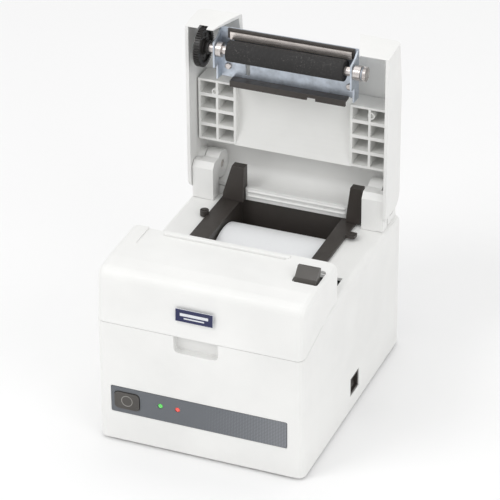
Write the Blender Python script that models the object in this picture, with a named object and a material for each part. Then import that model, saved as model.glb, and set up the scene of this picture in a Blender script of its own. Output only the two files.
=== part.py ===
"""Desktop receipt printer with its paper lid standing open.

Metres, +Z up, front towards -Y, the viewer's right towards +X. The origin is on the table under the
middle of the case. Everything that belongs to the lid is laid out as if the lid were closed, and an
empty on the lid's hinge then turns it open.
"""

import math

import bmesh
import bpy
from mathutils import Matrix, Vector

MM = 0.001

# Overall sizes
CASE_WIDTH = 140 * MM
CASE_DEPTH = 180 * MM
CLOSED_HEIGHT = 132 * MM
RIM_HEIGHT = 100 * MM
FOOT_HEIGHT = 2 * MM
WALL = 2.2 * MM
CORNER_RADIUS = 5 * MM
RIM_RADIUS = 4 * MM
SEAM = 0.4 * MM
GAP = 0.3 * MM
RUNNING = 0.05 * MM

# Front cover
COVER_LENGTH = 58.1 * MM
COVER_FRONT_HEIGHT = 88 * MM
COVER_SLOPE_LENGTH = 48 * MM
COVER_TOP_DROP = 4.6 * MM

# Lid and its hinge
HINGE_INSET = 12.5 * MM
LID_FRONT_DROP = 5 * MM
LID_SLOPE_LENGTH = 31.5 * MM
LID_PLATEAU_RISE = 1.2 * MM
LID_PLATEAU_WIDTH = 104 * MM
LID_CORNER_RELIEF = 1.4 * MM
LID_REAR_LIP = 6.5 * MM
EXIT_WIDTH = 82 * MM
EXIT_DEPTH = 16.5 * MM
EAR_SLANT = 10 * MM
LID_OPEN_ANGLE = 90
PIN_RADIUS = 3 * MM
KNUCKLE_RADIUS = 9 * MM
KNUCKLE_WIDTH = 4.5 * MM

# Platen and feed gears
PLATEN_SETBACK = 15.6 * MM
PLATEN_RISE = 2 * MM
PLATEN_WIDTH = 80 * MM
PLATEN_RADIUS = 7 * MM
PLATEN_SHAFT_RADIUS = 3 * MM
PLATEN_SHAFT_LEFT = 61 * MM
PLATEN_SHAFT_RIGHT = 55 * MM
BEARING_RADIUS = 5 * MM
GEAR_MODULE = 0.54 * MM
GEAR_OUTER_X = -60 * MM
GEAR_WIDTH = 4 * MM
PLATEN_TEETH = 48
IDLER_TEETH = 36
PINION_TEETH = 24
CUTTER_TEETH = 18
MESH_PLAY = 0.1 * MM
IDLER_DIRECTION = math.radians(-80)
PINION_DIRECTION = math.radians(216)

# Paper
ROLL_WIDTH = 69.5 * MM
ROLL_RADIUS = 32 * MM
CORE_RADIUS = 8 * MM
CORE_WALL = 2 * MM
BUCKET_CLEARANCE = 2 * MM
BUCKET_WALL = 2 * MM
BAY_SETBACK = 49 * MM
BAY_CENTRE_X = 1.25 * MM
ROLL_CENTRE_HEIGHT = 66.5 * MM
VAULT_CENTRE_HEIGHT = 61 * MM
FLANGE_THICKNESS = 1.5 * MM
FLANGE_LEFT = -48 * MM
FLANGE_RIGHT = 47.5 * MM

# Cutter, latch and controls
BLADE_HEIGHT = 105.3 * MM
BLADE_THICKNESS = 0.8 * MM
ROCKER_ANGLE = 8
PLUNGER_TRAVEL = 1.5 * MM
SHEET = 1.2 * MM

# Places worked out from the sizes above
HALF = CASE_WIDTH / 2
FRONT = -CASE_DEPTH / 2
REAR = CASE_DEPTH / 2
SPLIT = FRONT + COVER_LENGTH
LID_FRONT = SPLIT + SEAM
INNER = HALF - WALL
HINGE = Vector((0, REAR - HINGE_INSET, CLOSED_HEIGHT - HINGE_INSET))
LID_EDGE = RIM_HEIGHT + SEAM
LID_CORNER = HINGE.z - LID_EDGE + LID_CORNER_RELIEF
LIP_HEIGHT = HINGE.z - LID_REAR_LIP
LIP_RADIUS = math.hypot(HINGE_INSET, LID_REAR_LIP)
BARREL_RADIUS = HINGE_INSET - WALL - 2 * GAP
PLATEN_Y = SPLIT + PLATEN_SETBACK
PLATEN_Z = RIM_HEIGHT + PLATEN_RISE
BAY_Y = PLATEN_Y + BAY_SETBACK
BAY_RADIUS = ROLL_RADIUS + BUCKET_CLEARANCE
BAY_HALF = (ROLL_WIDTH + BUCKET_CLEARANCE) / 2
LATCH_Y = PLATEN_Y - 15 * MM
LATCH_Z = PLATEN_Z - 16 * MM
CHASSIS_LEFT = -46.4 * MM
CHASSIS_RIGHT = 49.8 * MM
CHASSIS_FRONT = PLATEN_Y - 28 * MM
CHASSIS_REAR = PLATEN_Y + 8.2 * MM
CHASSIS_BOTTOM = 50 * MM
TOWER_FRONT = HINGE.y - 17.5 * MM
TOWER_REAR = HINGE.y - 7.3 * MM
TOWER_INNER = HALF - 17.5 * MM
TOWER_OUTER = INNER - SEAM
TOWER_TOP = HINGE.z + 7.5 * MM
DECK_TOP = RIM_HEIGHT + GAP
FLANGE_TOP = DECK_TOP + FLANGE_THICKNESS
FLANGE_FRONT = BAY_Y - BAY_RADIUS - BUCKET_WALL

# Paper deck, front face and rear panel
DECK_FRONT = FLANGE_FRONT - 0.7 * MM
GEAR_ROOM = PLATEN_TEETH * GEAR_MODULE / 2 + 1.2 * MM
NOTCH_LEFT = -17 * MM
NOTCH_RIGHT = 13 * MM
NOTCH_BOTTOM = 76.5 * MM
NOTCH_DEPTH = 5.5 * MM
STRIP_LEFT = -61 * MM
STRIP_RIGHT = 59 * MM
STRIP_LOW = 23 * MM
STRIP_HIGH = 41.8 * MM
BUTTON_X = -50 * MM
BUTTON_WIDTH = 17 * MM
BUTTON_HEIGHT = 12 * MM
LENSES = {"power_lens": -27 * MM, "error_lens": -15.2 * MM}
LENS_RADIUS = 1.5 * MM
LENS_Z = (STRIP_LOW + STRIP_HIGH) / 2 + 1.5 * MM
BUTTON_Z = (STRIP_LOW + STRIP_HIGH) / 2
SWITCH_Y = 3 * MM
SWITCH_Z = 19 * MM
SWITCH_LENGTH = 15 * MM
SWITCH_HEIGHT = 13 * MM
SWITCH_WALL = 1.5 * MM
PANEL_LEFT = -56 * MM
PANEL_RIGHT = 58 * MM
PANEL_LOW = 7 * MM
PANEL_HIGH = 38 * MM
BOARD_TOP = 10.6 * MM
PILLARS = [(x, y) for x in (-38 * MM, 40 * MM) for y in (CHASSIS_FRONT + 5 * MM, CHASSIS_REAR - 5 * MM)]
STANDOFFS = [(x, y) for x in (-56 * MM, 56 * MM) for y in (REAR - 78 * MM, REAR - 24 * MM)]

# Cutter, finger lever and lid bracket
RACK_X = 26 * MM
RACK_WIDTH = 4 * MM
BLADE_REAR = PLATEN_Y - 13.3 * MM
BLADE_FRONT = BLADE_REAR - 20 * MM
RACK_LENGTH = 22 * MM
FRAME_TOP = BLADE_HEIGHT - GAP
FRAME_THICKNESS = 1.2 * MM
PINION_Y = BLADE_FRONT - RACK_LENGTH / 2
CUTTER_X = RACK_X + RACK_WIDTH / 2 + CUTTER_TEETH * GEAR_MODULE / 2 + 2 * MESH_PLAY
LEVER_LEFT = 51.5 * MM
LEVER_RIGHT = 66 * MM
LEVER_Y = SPLIT - 28 * MM
COVER_TOP = CLOSED_HEIGHT - COVER_TOP_DROP
LINER_SPLIT = 40 * MM
BRACKET_LEFT = -49.6 * MM
BRACKET_RIGHT = 46.2 * MM
BRACKET_REACH = 22.5 * MM
BRACKET_HEIGHT = PLATEN_Z + PLATEN_RADIUS + 2 * GAP

WHITE = ((0.86, 0.86, 0.84), 0.42, 0.0)
BLACK = ((0.035, 0.033, 0.031), 0.45, 0.0)
LEVER_GREY = ((0.085, 0.08, 0.075), 0.4, 0.0)
STRIP_GREY = ((0.17, 0.175, 0.19), 0.5, 0.0)
RUBBER = ((0.03, 0.029, 0.028), 0.75, 0.0)
ZINC = ((0.62, 0.67, 0.72), 0.35, 1.0)
STEEL = ((0.72, 0.68, 0.64), 0.28, 1.0)
BLADE = ((0.78, 0.72, 0.68), 0.2, 1.0)
PAPER = ((0.9, 0.9, 0.89), 0.8, 0.0)
CARD = ((0.5, 0.4, 0.28), 0.85, 0.0)
BOARD = ((0.03, 0.2, 0.09), 0.5, 0.0)
GREEN = ((0.05, 0.6, 0.12), 0.2, 0.0)
RED = ((0.7, 0.05, 0.04), 0.2, 0.0)
BLUE = ((0.03, 0.07, 0.4), 0.35, 0.0)
CERAMIC = ((0.75, 0.73, 0.68), 0.3, 0.0)


def new_collection(name):
    made = bpy.data.collections.new(name)
    bpy.context.scene.collection.children.link(made)
    return made


def clear_scene():
    for thing in list(bpy.data.objects):
        bpy.data.objects.remove(thing, do_unlink=True)


clear_scene()
PARTS = new_collection("receipt_printer")
CUTTERS = new_collection("cutters")


def add_object(name, mesh):
    made = bpy.data.objects.new(name, mesh)
    PARTS.objects.link(made)
    return made


def finish(piece, look, smooth_angle=30):
    """Give a piece its own material and smooth its round faces."""
    colour, roughness, metallic = look
    made = bpy.data.materials.new(piece.name)
    made.use_nodes = True
    shader = made.node_tree.nodes["Principled BSDF"]
    shader.inputs["Base Color"].default_value = (*colour, 1)
    shader.inputs["Roughness"].default_value = roughness
    shader.inputs["Metallic"].default_value = metallic
    piece.data.materials.clear()
    piece.data.materials.append(made)
    piece.data.shade_smooth()
    piece.data.set_sharp_from_angle(angle=math.radians(smooth_angle))
    return piece


def box(name, low, high, radius=0.0, along="", segments=4):
    """A block between two corners; the edges that run along one axis can be rounded."""
    low, high = Vector(low), Vector(high)
    mesh = bpy.data.meshes.new(name)
    shape = bmesh.new()
    bmesh.ops.create_cube(shape, size=1)
    bmesh.ops.scale(shape, vec=high - low, verts=shape.verts)
    if radius:
        axis = "XYZ".index(along)
        chosen = [edge for edge in shape.edges
                  if abs((edge.verts[0].co - edge.verts[1].co).normalized()[axis]) > 0.9]
        bmesh.ops.bevel(shape, geom=chosen, offset=radius, segments=segments, profile=0.5,
                        affect="EDGES")
    shape.to_mesh(mesh)
    shape.free()
    made = add_object(name, mesh)
    made.location = (low + high) / 2
    return made


def cylinder(name, start, end, radius, segments=32):
    """A round bar from one point to another along X, Y or Z."""
    start, end = Vector(start), Vector(end)
    mesh = bpy.data.meshes.new(name)
    shape = bmesh.new()
    bmesh.ops.create_cone(shape, cap_ends=True, segments=segments, radius1=radius, radius2=radius,
                          depth=(end - start).length)
    shape.to_mesh(mesh)
    shape.free()
    made = add_object(name, mesh)
    made.location = (start + end) / 2
    made.rotation_euler = (end - start).to_track_quat("Z", "Y").to_euler()
    return made


TURN = {
    "YZ": (math.radians(90), 0, math.radians(90)),
    "XZ": (math.radians(90), 0, 0),
    "XY": (0, 0, 0),
}


def plate(name, outlines, start, end, plane="YZ", rounding=0.0):
    """A flat piece from one or more closed outlines, later ones being holes.

    Outlines are in the named plane. The piece runs from start to end along the third axis.
    Rounding is the radius of the edges round both of its flat faces.
    """
    curve = bpy.data.curves.new(name, "CURVE")
    curve.dimensions = "2D"
    curve.fill_mode = "BOTH"
    curve.extrude = abs(end - start) / 2 - rounding
    if rounding:
        curve.bevel_depth = rounding
        curve.bevel_resolution = 3
        curve.offset = -rounding
    for outline in outlines:
        spline = curve.splines.new("POLY")
        spline.points.add(len(outline) - 1)
        for point, (across, up) in zip(spline.points, outline):
            point.co = (across, up, 0, 1)
        spline.use_cyclic_u = True
    guide = bpy.data.objects.new(name + "_outline", curve)
    PARTS.objects.link(guide)
    middle = (start + end) / 2
    guide.rotation_euler = TURN[plane]
    guide.location = {"YZ": (middle, 0, 0), "XZ": (0, middle, 0), "XY": (0, 0, middle)}[plane]
    return curve_to_mesh(guide, name)


def curve_to_mesh(guide, name):
    bpy.context.view_layer.update()
    mesh = bpy.data.meshes.new_from_object(guide.evaluated_get(bpy.context.evaluated_depsgraph_get()))
    mesh.name = name
    shape = bmesh.new()
    shape.from_mesh(mesh)
    bmesh.ops.remove_doubles(shape, verts=shape.verts, dist=0.000001)
    bmesh.ops.recalc_face_normals(shape, faces=shape.faces)
    shape.to_mesh(mesh)
    shape.free()
    made = add_object(name, mesh)
    made.matrix_world = guide.matrix_world.copy()
    bpy.data.objects.remove(guide, do_unlink=True)
    return made


def combine(target, tool, operation):
    """Cut a tool from a target, or join it on, and put the tool away."""
    bpy.context.view_layer.update()
    change = target.modifiers.new(tool.name, "BOOLEAN")
    change.operation = operation
    change.object = tool
    change.solver = "EXACT"
    tool.parent = target
    tool.matrix_parent_inverse = target.matrix_basis.inverted()
    tool.hide_render = True
    tool.display_type = "WIRE"
    PARTS.objects.unlink(tool)
    CUTTERS.objects.link(tool)


def cut(target, *tools):
    for tool in tools:
        combine(target, tool, "DIFFERENCE")
    return target


def join(target, *tools):
    for tool in tools:
        combine(target, tool, "UNION")
    return target


def arc(centre, radius, start, end, steps=8):
    """Points on an arc, with both of its ends; angles in degrees."""
    points = []
    for step in range(steps + 1):
        angle = math.radians(start + (end - start) * step / steps)
        points.append((centre[0] + radius * math.cos(angle), centre[1] + radius * math.sin(angle)))
    return points


def rectangle(left, right, low, high, radius=0.0):
    if not radius:
        return [(left, low), (right, low), (right, high), (left, high)]
    return (arc((right - radius, low + radius), radius, -90, 0, 4)
            + arc((right - radius, high - radius), radius, 0, 90, 4)
            + arc((left + radius, high - radius), radius, 90, 180, 4)
            + arc((left + radius, low + radius), radius, 180, 270, 4))


def circle(centre, radius, steps=48):
    return arc(centre, radius, 0, 360, steps)[:-1]


def pitch_radius(teeth):
    return teeth * GEAR_MODULE / 2


def gear_outline(centre, teeth, tooth_angle):
    """Straight-sided teeth round a pitch circle, with one tooth centred on tooth_angle."""
    pitch = pitch_radius(teeth)
    step = 2 * math.pi / teeth
    rings = [(-0.36, pitch - 1.15 * GEAR_MODULE), (-0.14, pitch + 0.85 * GEAR_MODULE),
             (0.14, pitch + 0.85 * GEAR_MODULE), (0.36, pitch - 1.15 * GEAR_MODULE)]
    points = []
    for tooth in range(teeth):
        for share, radius in rings:
            angle = tooth_angle + (tooth + share) * step
            points.append((centre[0] + radius * math.cos(angle),
                           centre[1] + radius * math.sin(angle)))
    return points


def coil(name, start, end, radius, wire, turns, look):
    """A coil spring between two points along Y or X."""
    start, end = Vector(start), Vector(end)
    along = (end - start).normalized()
    side = Vector((0, 0, 1))
    across = along.cross(side)
    curve = bpy.data.curves.new(name, "CURVE")
    curve.dimensions = "3D"
    curve.bevel_depth = wire / 2
    curve.bevel_resolution = 1
    curve.use_fill_caps = True
    count = turns * 12 + 1
    spline = curve.splines.new("POLY")
    spline.points.add(count - 1)
    for index, point in enumerate(spline.points):
        turn = 2 * math.pi * index / 12
        place = start + (end - start) * index / (count - 1)
        place += (side * math.cos(turn) + across * math.sin(turn)) * radius
        point.co = (*place, 1)
    guide = bpy.data.objects.new(name + "_path", curve)
    PARTS.objects.link(guide)
    return finish(curve_to_mesh(guide, name), look)


def hold(pieces, empty):
    """Hang pieces, modelled in place, on an empty without moving them."""
    for piece in pieces:
        piece.parent = empty
        piece.matrix_parent_inverse = Matrix.Translation(-empty.location)


def axis_empty(name, place):
    made = bpy.data.objects.new(name, None)
    made.location = place
    made.empty_display_size = 0.01
    PARTS.objects.link(made)
    return made


# The case, its feet and the pieces fixed to it

def seam_line(lift=0.0):
    """Where the front cover meets the case, seen from the side, from rear to front."""
    front_z = COVER_FRONT_HEIGHT + lift
    return [(FRONT + COVER_SLOPE_LENGTH, RIM_HEIGHT + lift), (FRONT, front_z)]


def main_case():
    over = 5 * MM
    case = plate("main_case", [rectangle(-HALF, HALF, FRONT, REAR, CORNER_RADIUS)],
                 FOOT_HEIGHT - over, RIM_HEIGHT, "XY", RIM_RADIUS)
    cut(case, box("case_underside", (-HALF - over, FRONT - over, -2 * over),
                  (HALF + over, REAR + over, FOOT_HEIGHT)))
    side = TOWER_OUTER - GAP
    join(case, plate("cradle_seat", [rectangle(-side, side, BAY_Y, REAR, CORNER_RADIUS)],
                     RIM_HEIGHT - 2 * RIM_RADIUS, RIM_HEIGHT, "XY"))
    inside = box("case_inside", (-INNER, FRONT + WALL, -WALL), (INNER, REAR - WALL, RIM_HEIGHT - WALL),
                 CORNER_RADIUS - WALL, "Z")
    (bend_y, bend_z), (front_y, front_z) = seam_line()
    fall = (bend_z - front_z) / (bend_y - front_y)
    wedge = plate("case_wedge", [[(front_y - over, front_z - over * fall), (bend_y, bend_z),
                                  (bend_y, bend_z + over), (front_y - over, bend_z + over)]],
                  -HALF - over, HALF + over)
    mouth_side = INNER - 4.4 * MM
    mouth = box("case_mouth", (-mouth_side, FRONT + WALL, CHASSIS_BOTTOM),
                (mouth_side, DECK_FRONT, RIM_HEIGHT + over))
    bay = box("case_bay", (BAY_CENTRE_X - BAY_HALF - BUCKET_WALL - GAP, FRONT + COVER_LENGTH, CHASSIS_BOTTOM),
              (BAY_CENTRE_X + BAY_HALF + BUCKET_WALL + GAP, BAY_Y + BAY_RADIUS + BUCKET_WALL + GAP,
               RIM_HEIGHT + over))
    gear_room = cylinder("case_gear_room", (GEAR_OUTER_X - 1 * MM, PLATEN_Y, PLATEN_Z),
                         (GEAR_OUTER_X + GEAR_WIDTH + 1 * MM, PLATEN_Y, PLATEN_Z), GEAR_ROOM, 64)
    cut(case, inside, wedge, mouth, bay, gear_room)
    for side in (-1, 1):
        cut(case, cylinder(f"case_scallop_{side}", (side * (TOWER_OUTER + GAP), HINGE.y, HINGE.z),
                           (side * (HALF + over), HINGE.y, HINGE.z), LID_CORNER + SEAM, 64))
    pocket = box("finger_pocket", (NOTCH_LEFT - WALL, FRONT + 0.5 * MM, NOTCH_BOTTOM - WALL),
                 (NOTCH_RIGHT + WALL, FRONT + NOTCH_DEPTH + WALL, COVER_FRONT_HEIGHT))
    notch = box("finger_notch", (NOTCH_LEFT, FRONT - over, NOTCH_BOTTOM),
                (NOTCH_RIGHT, FRONT + NOTCH_DEPTH, COVER_FRONT_HEIGHT + over), 3 * MM, "Y")
    join(case, pocket)
    cut(case, notch)
    recess = box("strip_recess", (STRIP_LEFT - GAP, FRONT - over, STRIP_LOW - GAP),
                 (STRIP_RIGHT + GAP, FRONT + 1.1 * MM, STRIP_HIGH + GAP), 1 * MM, "Y")
    cut(case, recess, button_hole("case_button_hole"))
    for name, x in LENSES.items():
        cut(case, lens_hole("case_" + name, x))
    cut(case, box("switch_hole", (HALF - 10 * MM, SWITCH_Y - SWITCH_LENGTH / 2 - GAP,
                                  SWITCH_Z - SWITCH_HEIGHT / 2 - GAP),
                  (HALF + over, SWITCH_Y + SWITCH_LENGTH / 2 + GAP, SWITCH_Z + SWITCH_HEIGHT / 2 + GAP)),
        box("panel_window", (PANEL_LEFT + 3 * MM, REAR - 10 * MM, PANEL_LOW + 3 * MM),
            (PANEL_RIGHT - 3 * MM, REAR + over, PANEL_HIGH - 3 * MM), 2 * MM, "Y"))
    return finish(case, WHITE)


def button_hole(name):
    wide = BUTTON_WIDTH / 2 + SEAM
    high = BUTTON_HEIGHT / 2 + SEAM
    return box(name, (BUTTON_X - wide, FRONT - 5 * MM, BUTTON_Z - high),
               (BUTTON_X + wide, FRONT + 5 * MM, BUTTON_Z + high), 3 * MM, "Y")


def lens_hole(name, x):
    return cylinder(name + "_hole", (x, FRONT - 5 * MM, LENS_Z), (x, FRONT + 5 * MM, LENS_Z),
                    LENS_RADIUS + GAP, 24)


def rear_cradle():
    """The raised back of the case, hollowed round the path of the lid's rear lip."""
    side = TOWER_OUTER - GAP
    outline = [(-side, TOWER_REAR + SEAM), (side, TOWER_REAR + SEAM)] + rectangle(
        -side, side, FRONT, REAR, CORNER_RADIUS)[5:15]
    cradle = plate("rear_cradle", [outline], DECK_TOP, LIP_HEIGHT - SEAM, "XY")
    over = 5 * MM
    cut(cradle, cylinder("cradle_hollow", (-side - over, HINGE.y, HINGE.z),
                         (side + over, HINGE.y, HINGE.z), LIP_RADIUS + 0.5 * MM, 64))
    return finish(cradle, WHITE)


def bottom_tray():
    side = INNER - GAP
    end = REAR - WALL - GAP
    thick = 2.2 * MM
    top = FOOT_HEIGHT + thick
    tray = box("bottom_tray", (-side, -end, FOOT_HEIGHT), (side, end, top), CORNER_RADIUS - WALL, "Z")
    over = 0.5 * MM
    for index, (x, y) in enumerate(PILLARS):
        join(tray, cylinder(f"tray_pillar_{index}", (x, y, top - over),
                            (x, y, CHASSIS_BOTTOM - GAP), 3 * MM, 16))
    for index, (x, y) in enumerate(STANDOFFS):
        join(tray, cylinder(f"tray_standoff_{index}", (x, y, top - over),
                            (x, y, BOARD_TOP - 1.6 * MM - GAP), 3 * MM, 16))
    return finish(tray, WHITE)


def rubber_feet():
    feet = []
    for end_name, y in (("front", FRONT + 16 * MM), ("rear", REAR - 16 * MM)):
        for side_name, x in (("left", -HALF + 16 * MM), ("right", HALF - 16 * MM)):
            foot = cylinder(f"foot_{end_name}_{side_name}", (x, y, 0), (x, y, FOOT_HEIGHT - GAP),
                            6.5 * MM, 32)
            feet.append(finish(foot, RUBBER))
    return feet


def control_strip():
    strip = box("control_strip", (STRIP_LEFT, FRONT - 0.2 * MM, STRIP_LOW),
                (STRIP_RIGHT, FRONT + 0.8 * MM, STRIP_HIGH), 1 * MM, "Y")
    cut(strip, button_hole("strip_button_hole"))
    for name, x in LENSES.items():
        cut(strip, lens_hole("strip_" + name, x))
    return finish(strip, STRIP_GREY)


def indicator_lenses():
    for (name, x), look in zip(LENSES.items(), (GREEN, RED)):
        finish(cylinder(name, (x, FRONT - 0.5 * MM, LENS_Z), (x, FRONT + 6 * MM, LENS_Z),
                        LENS_RADIUS, 24), look)


def feed_button():
    button = box("feed_button", (BUTTON_X - BUTTON_WIDTH / 2, FRONT - 1 * MM, BUTTON_Z - BUTTON_HEIGHT / 2),
                 (BUTTON_X + BUTTON_WIDTH / 2, FRONT + 7 * MM, BUTTON_Z + BUTTON_HEIGHT / 2), 2.6 * MM, "Y")
    return finish(button, STRIP_GREY)


def panel_board():
    board = box("panel_board", (STRIP_LEFT, FRONT + 10 * MM, STRIP_LOW - 2 * MM),
                (-10 * MM, FRONT + 11.6 * MM, STRIP_HIGH + 2 * MM))
    switch = box("tact_switch", (BUTTON_X - 3 * MM, FRONT + 8.6 * MM, BUTTON_Z - 3 * MM),
                 (BUTTON_X + 3 * MM, FRONT + 10.5 * MM, BUTTON_Z + 3 * MM))
    join(board, switch)
    return finish(board, BOARD)


def power_switch():
    low = (HALF - 14 * MM, SWITCH_Y - SWITCH_LENGTH / 2, SWITCH_Z - SWITCH_HEIGHT / 2)
    high = (HALF - 0.4 * MM, SWITCH_Y + SWITCH_LENGTH / 2, SWITCH_Z + SWITCH_HEIGHT / 2)
    housing = box("switch_housing", low, high)
    cavity = box("switch_cavity", (HALF - 10 * MM, low[1] + SWITCH_WALL, low[2] + SWITCH_WALL),
                 (HALF + 5 * MM, high[1] - SWITCH_WALL, high[2] - SWITCH_WALL))
    finish(cut(housing, cavity), BLACK)
    half_tall = SWITCH_HEIGHT / 2 - SWITCH_WALL - 0.5 * MM
    axis_x = HALF - 4.2 * MM
    thick = 1.5 * MM
    dish = 0.6 * MM
    outline = [(-thick, -half_tall), (thick, -half_tall), (thick - dish, 0), (thick, half_tall),
               (-thick, half_tall)]
    tilt = math.radians(ROCKER_ANGLE)
    turned = [(axis_x + x * math.cos(tilt) - z * math.sin(tilt),
               SWITCH_Z + x * math.sin(tilt) + z * math.cos(tilt)) for x, z in outline]
    rocker = plate("power_rocker", [turned], low[1] + SWITCH_WALL + SEAM, high[1] - SWITCH_WALL - SEAM, "XZ")
    return finish(rocker, BLACK)


def rear_sockets():
    """The connector panel inside the rear wall, and its three sockets."""
    panel = box("rear_panel", (PANEL_LEFT, REAR - WALL - GAP - 1.5 * MM, PANEL_LOW + 2 * MM),
                (PANEL_RIGHT, REAR - WALL - GAP, PANEL_HIGH))
    back = REAR - 1 * MM
    deep = 16 * MM
    low = BOARD_TOP + GAP
    inlet_x, inlet_z, inlet_radius = 40 * MM, low + 8 * MM, 7.5 * MM
    cut(panel, cylinder("inlet_hole", (inlet_x, REAR - 8 * MM, inlet_z), (inlet_x, REAR + 5 * MM, inlet_z),
                        inlet_radius + GAP))
    inlet = cylinder("power_inlet", (inlet_x, back - deep, inlet_z), (inlet_x, back, inlet_z), inlet_radius)
    cut(inlet, cylinder("inlet_recess", (inlet_x, back - 9 * MM, inlet_z), (inlet_x, back + 5 * MM, inlet_z),
                        inlet_radius - 1.6 * MM))
    finish(inlet, BLACK)
    for name, x, wide, high, look in (("data_socket", 2 * MM, 12 * MM, 11 * MM, ZINC),
                                      ("drawer_socket", -36 * MM, 14 * MM, 13 * MM, BLACK)):
        left, right = x - wide / 2, x + wide / 2
        shell = box(name, (left, back - deep, low), (right, back, low + high))
        cut(shell, box(name + "_recess", (left + 1.6 * MM, back - 9 * MM, low + 1.6 * MM),
                       (right - 1.6 * MM, back + 5 * MM, low + high - 1.6 * MM)))
        finish(shell, look)
        cut(panel, box(name + "_hole", (left - GAP, REAR - 8 * MM, low - GAP),
                       (right + GAP, REAR + 5 * MM, low + high + GAP)))
    return finish(panel, ZINC)


def main_board():
    board = box("main_board", (-INNER + 4 * MM, REAR - 84 * MM, BOARD_TOP - 1.6 * MM),
                (INNER - 4 * MM, REAR - WALL - 4 * MM, BOARD_TOP))
    for index, (x, y, wide, deep, high) in enumerate(((-20 * MM, 20 * MM, 14 * MM, 14 * MM, 2 * MM),
                                                      (15 * MM, 25 * MM, 10 * MM, 10 * MM, 3 * MM),
                                                      (45 * MM, 30 * MM, 9 * MM, 9 * MM, 11 * MM))):
        join(board, box(f"board_chip_{index}", (x - wide / 2, REAR - 90 * MM + y, BOARD_TOP - 1 * MM),
                        (x + wide / 2, REAR - 90 * MM + y + deep, BOARD_TOP + high)))
    return finish(board, BOARD)


# Paper bay, posts and hinge towers

def paper_bucket():
    left, right = BAY_CENTRE_X - BAY_HALF, BAY_CENTRE_X + BAY_HALF
    outer = BAY_RADIUS + BUCKET_WALL
    top = FLANGE_TOP - 0.5 * MM

    def trough(radius, ceiling):
        return ([(BAY_Y + radius, ceiling), (BAY_Y - radius, ceiling)]
                + arc((BAY_Y, ROLL_CENTRE_HEIGHT), radius, 180, 360, 24))

    bucket = plate("paper_bucket", [trough(outer, top)], left - BUCKET_WALL, right + BUCKET_WALL)
    flange = box("bucket_flange", (FLANGE_LEFT, FLANGE_FRONT + 0.5 * MM, DECK_TOP),
                 (FLANGE_RIGHT, TOWER_REAR, FLANGE_TOP))
    join(bucket, flange)
    cut(bucket, plate("bucket_hollow", [trough(BAY_RADIUS, FLANGE_TOP + 10 * MM)], left, right))
    return finish(bucket, BLACK)


def barrel_outline(front):
    """A round boss on the hinge axis, running into an upright web whose front is given."""
    reach = HINGE.y - front
    angle = math.degrees(math.asin((HINGE.y - TOWER_REAR) / BARREL_RADIUS))
    low = -90 - angle
    high = 90 + angle
    points = arc((HINGE.y, HINGE.z), BARREL_RADIUS, low, high, 20)
    return [(HINGE.y - reach, HINGE.z)] + points if reach > BARREL_RADIUS else points


def guide_posts():
    """Two black posts beside the paper bay, each narrowing towards its top."""
    top = TOWER_TOP - 0.5 * MM
    foot = FLANGE_TOP + GAP
    front = TOWER_FRONT + 2 * MM
    lean = 2.5 * MM
    over = 1 * MM
    for name, left, right, taper in (("guide_post_left", -46.5 * MM, -32 * MM, 6 * MM),
                                     ("guide_post_right", 41 * MM, 51 * MM, 2 * MM)):
        post = plate(name, [[(front, foot), (TOWER_REAR, foot), (TOWER_REAR, top), (front + lean, top)]],
                     left, right)
        slope = [(left - over, foot + 4 * MM), (left, foot + 4 * MM), (left + taper, top + over),
                 (left - over, top + over)]
        cut(post, plate(name + "_taper", [slope], front - over, TOWER_REAR + over, "XZ"))
        finish(post, BLACK)


def hinge_towers():
    for side, name in ((-1, "left"), (1, "right")):
        inner, outer = side * TOWER_INNER, side * TOWER_OUTER
        knuckle = side * (INNER - KNUCKLE_WIDTH - SEAM)
        front = [(TOWER_FRONT, DECK_TOP), (TOWER_REAR, DECK_TOP), (TOWER_REAR, TOWER_TOP),
                 (TOWER_FRONT + 3 * MM, TOWER_TOP), (TOWER_FRONT, TOWER_TOP - 4 * MM)]
        tower = plate(f"hinge_tower_{name}", [front], inner, knuckle)
        join(tower, plate(f"tower_barrel_{name}", [barrel_outline(TOWER_FRONT + 4 * MM)],
                          inner + side * 0.3 * MM, knuckle - side * 0.3 * MM))
        face_rear = HINGE.y - KNUCKLE_RADIUS - SEAM
        face = [(TOWER_FRONT + 0.2 * MM, DECK_TOP + 0.2 * MM), (face_rear, DECK_TOP + 0.2 * MM),
                (face_rear, TOWER_TOP - 0.2 * MM), (TOWER_FRONT + 3 * MM, TOWER_TOP - 0.2 * MM),
                (TOWER_FRONT + 0.2 * MM, TOWER_TOP - 4 * MM)]
        join(tower, plate(f"tower_face_{name}", [face], knuckle - side * 5 * MM, outer))
        cut(tower, cylinder(f"tower_bore_{name}", (inner - side * 5 * MM, HINGE.y, HINGE.z),
                            (outer + side * 5 * MM, HINGE.y, HINGE.z), PIN_RADIUS + RUNNING, 48))
        finish(tower, WHITE)
        pin = cylinder(f"hinge_pin_{name}", (inner + side * 1 * MM, HINGE.y, HINGE.z),
                       (side * (INNER - SEAM), HINGE.y, HINGE.z), PIN_RADIUS, 48)
        finish(pin, STEEL)


# Print mechanism

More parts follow.
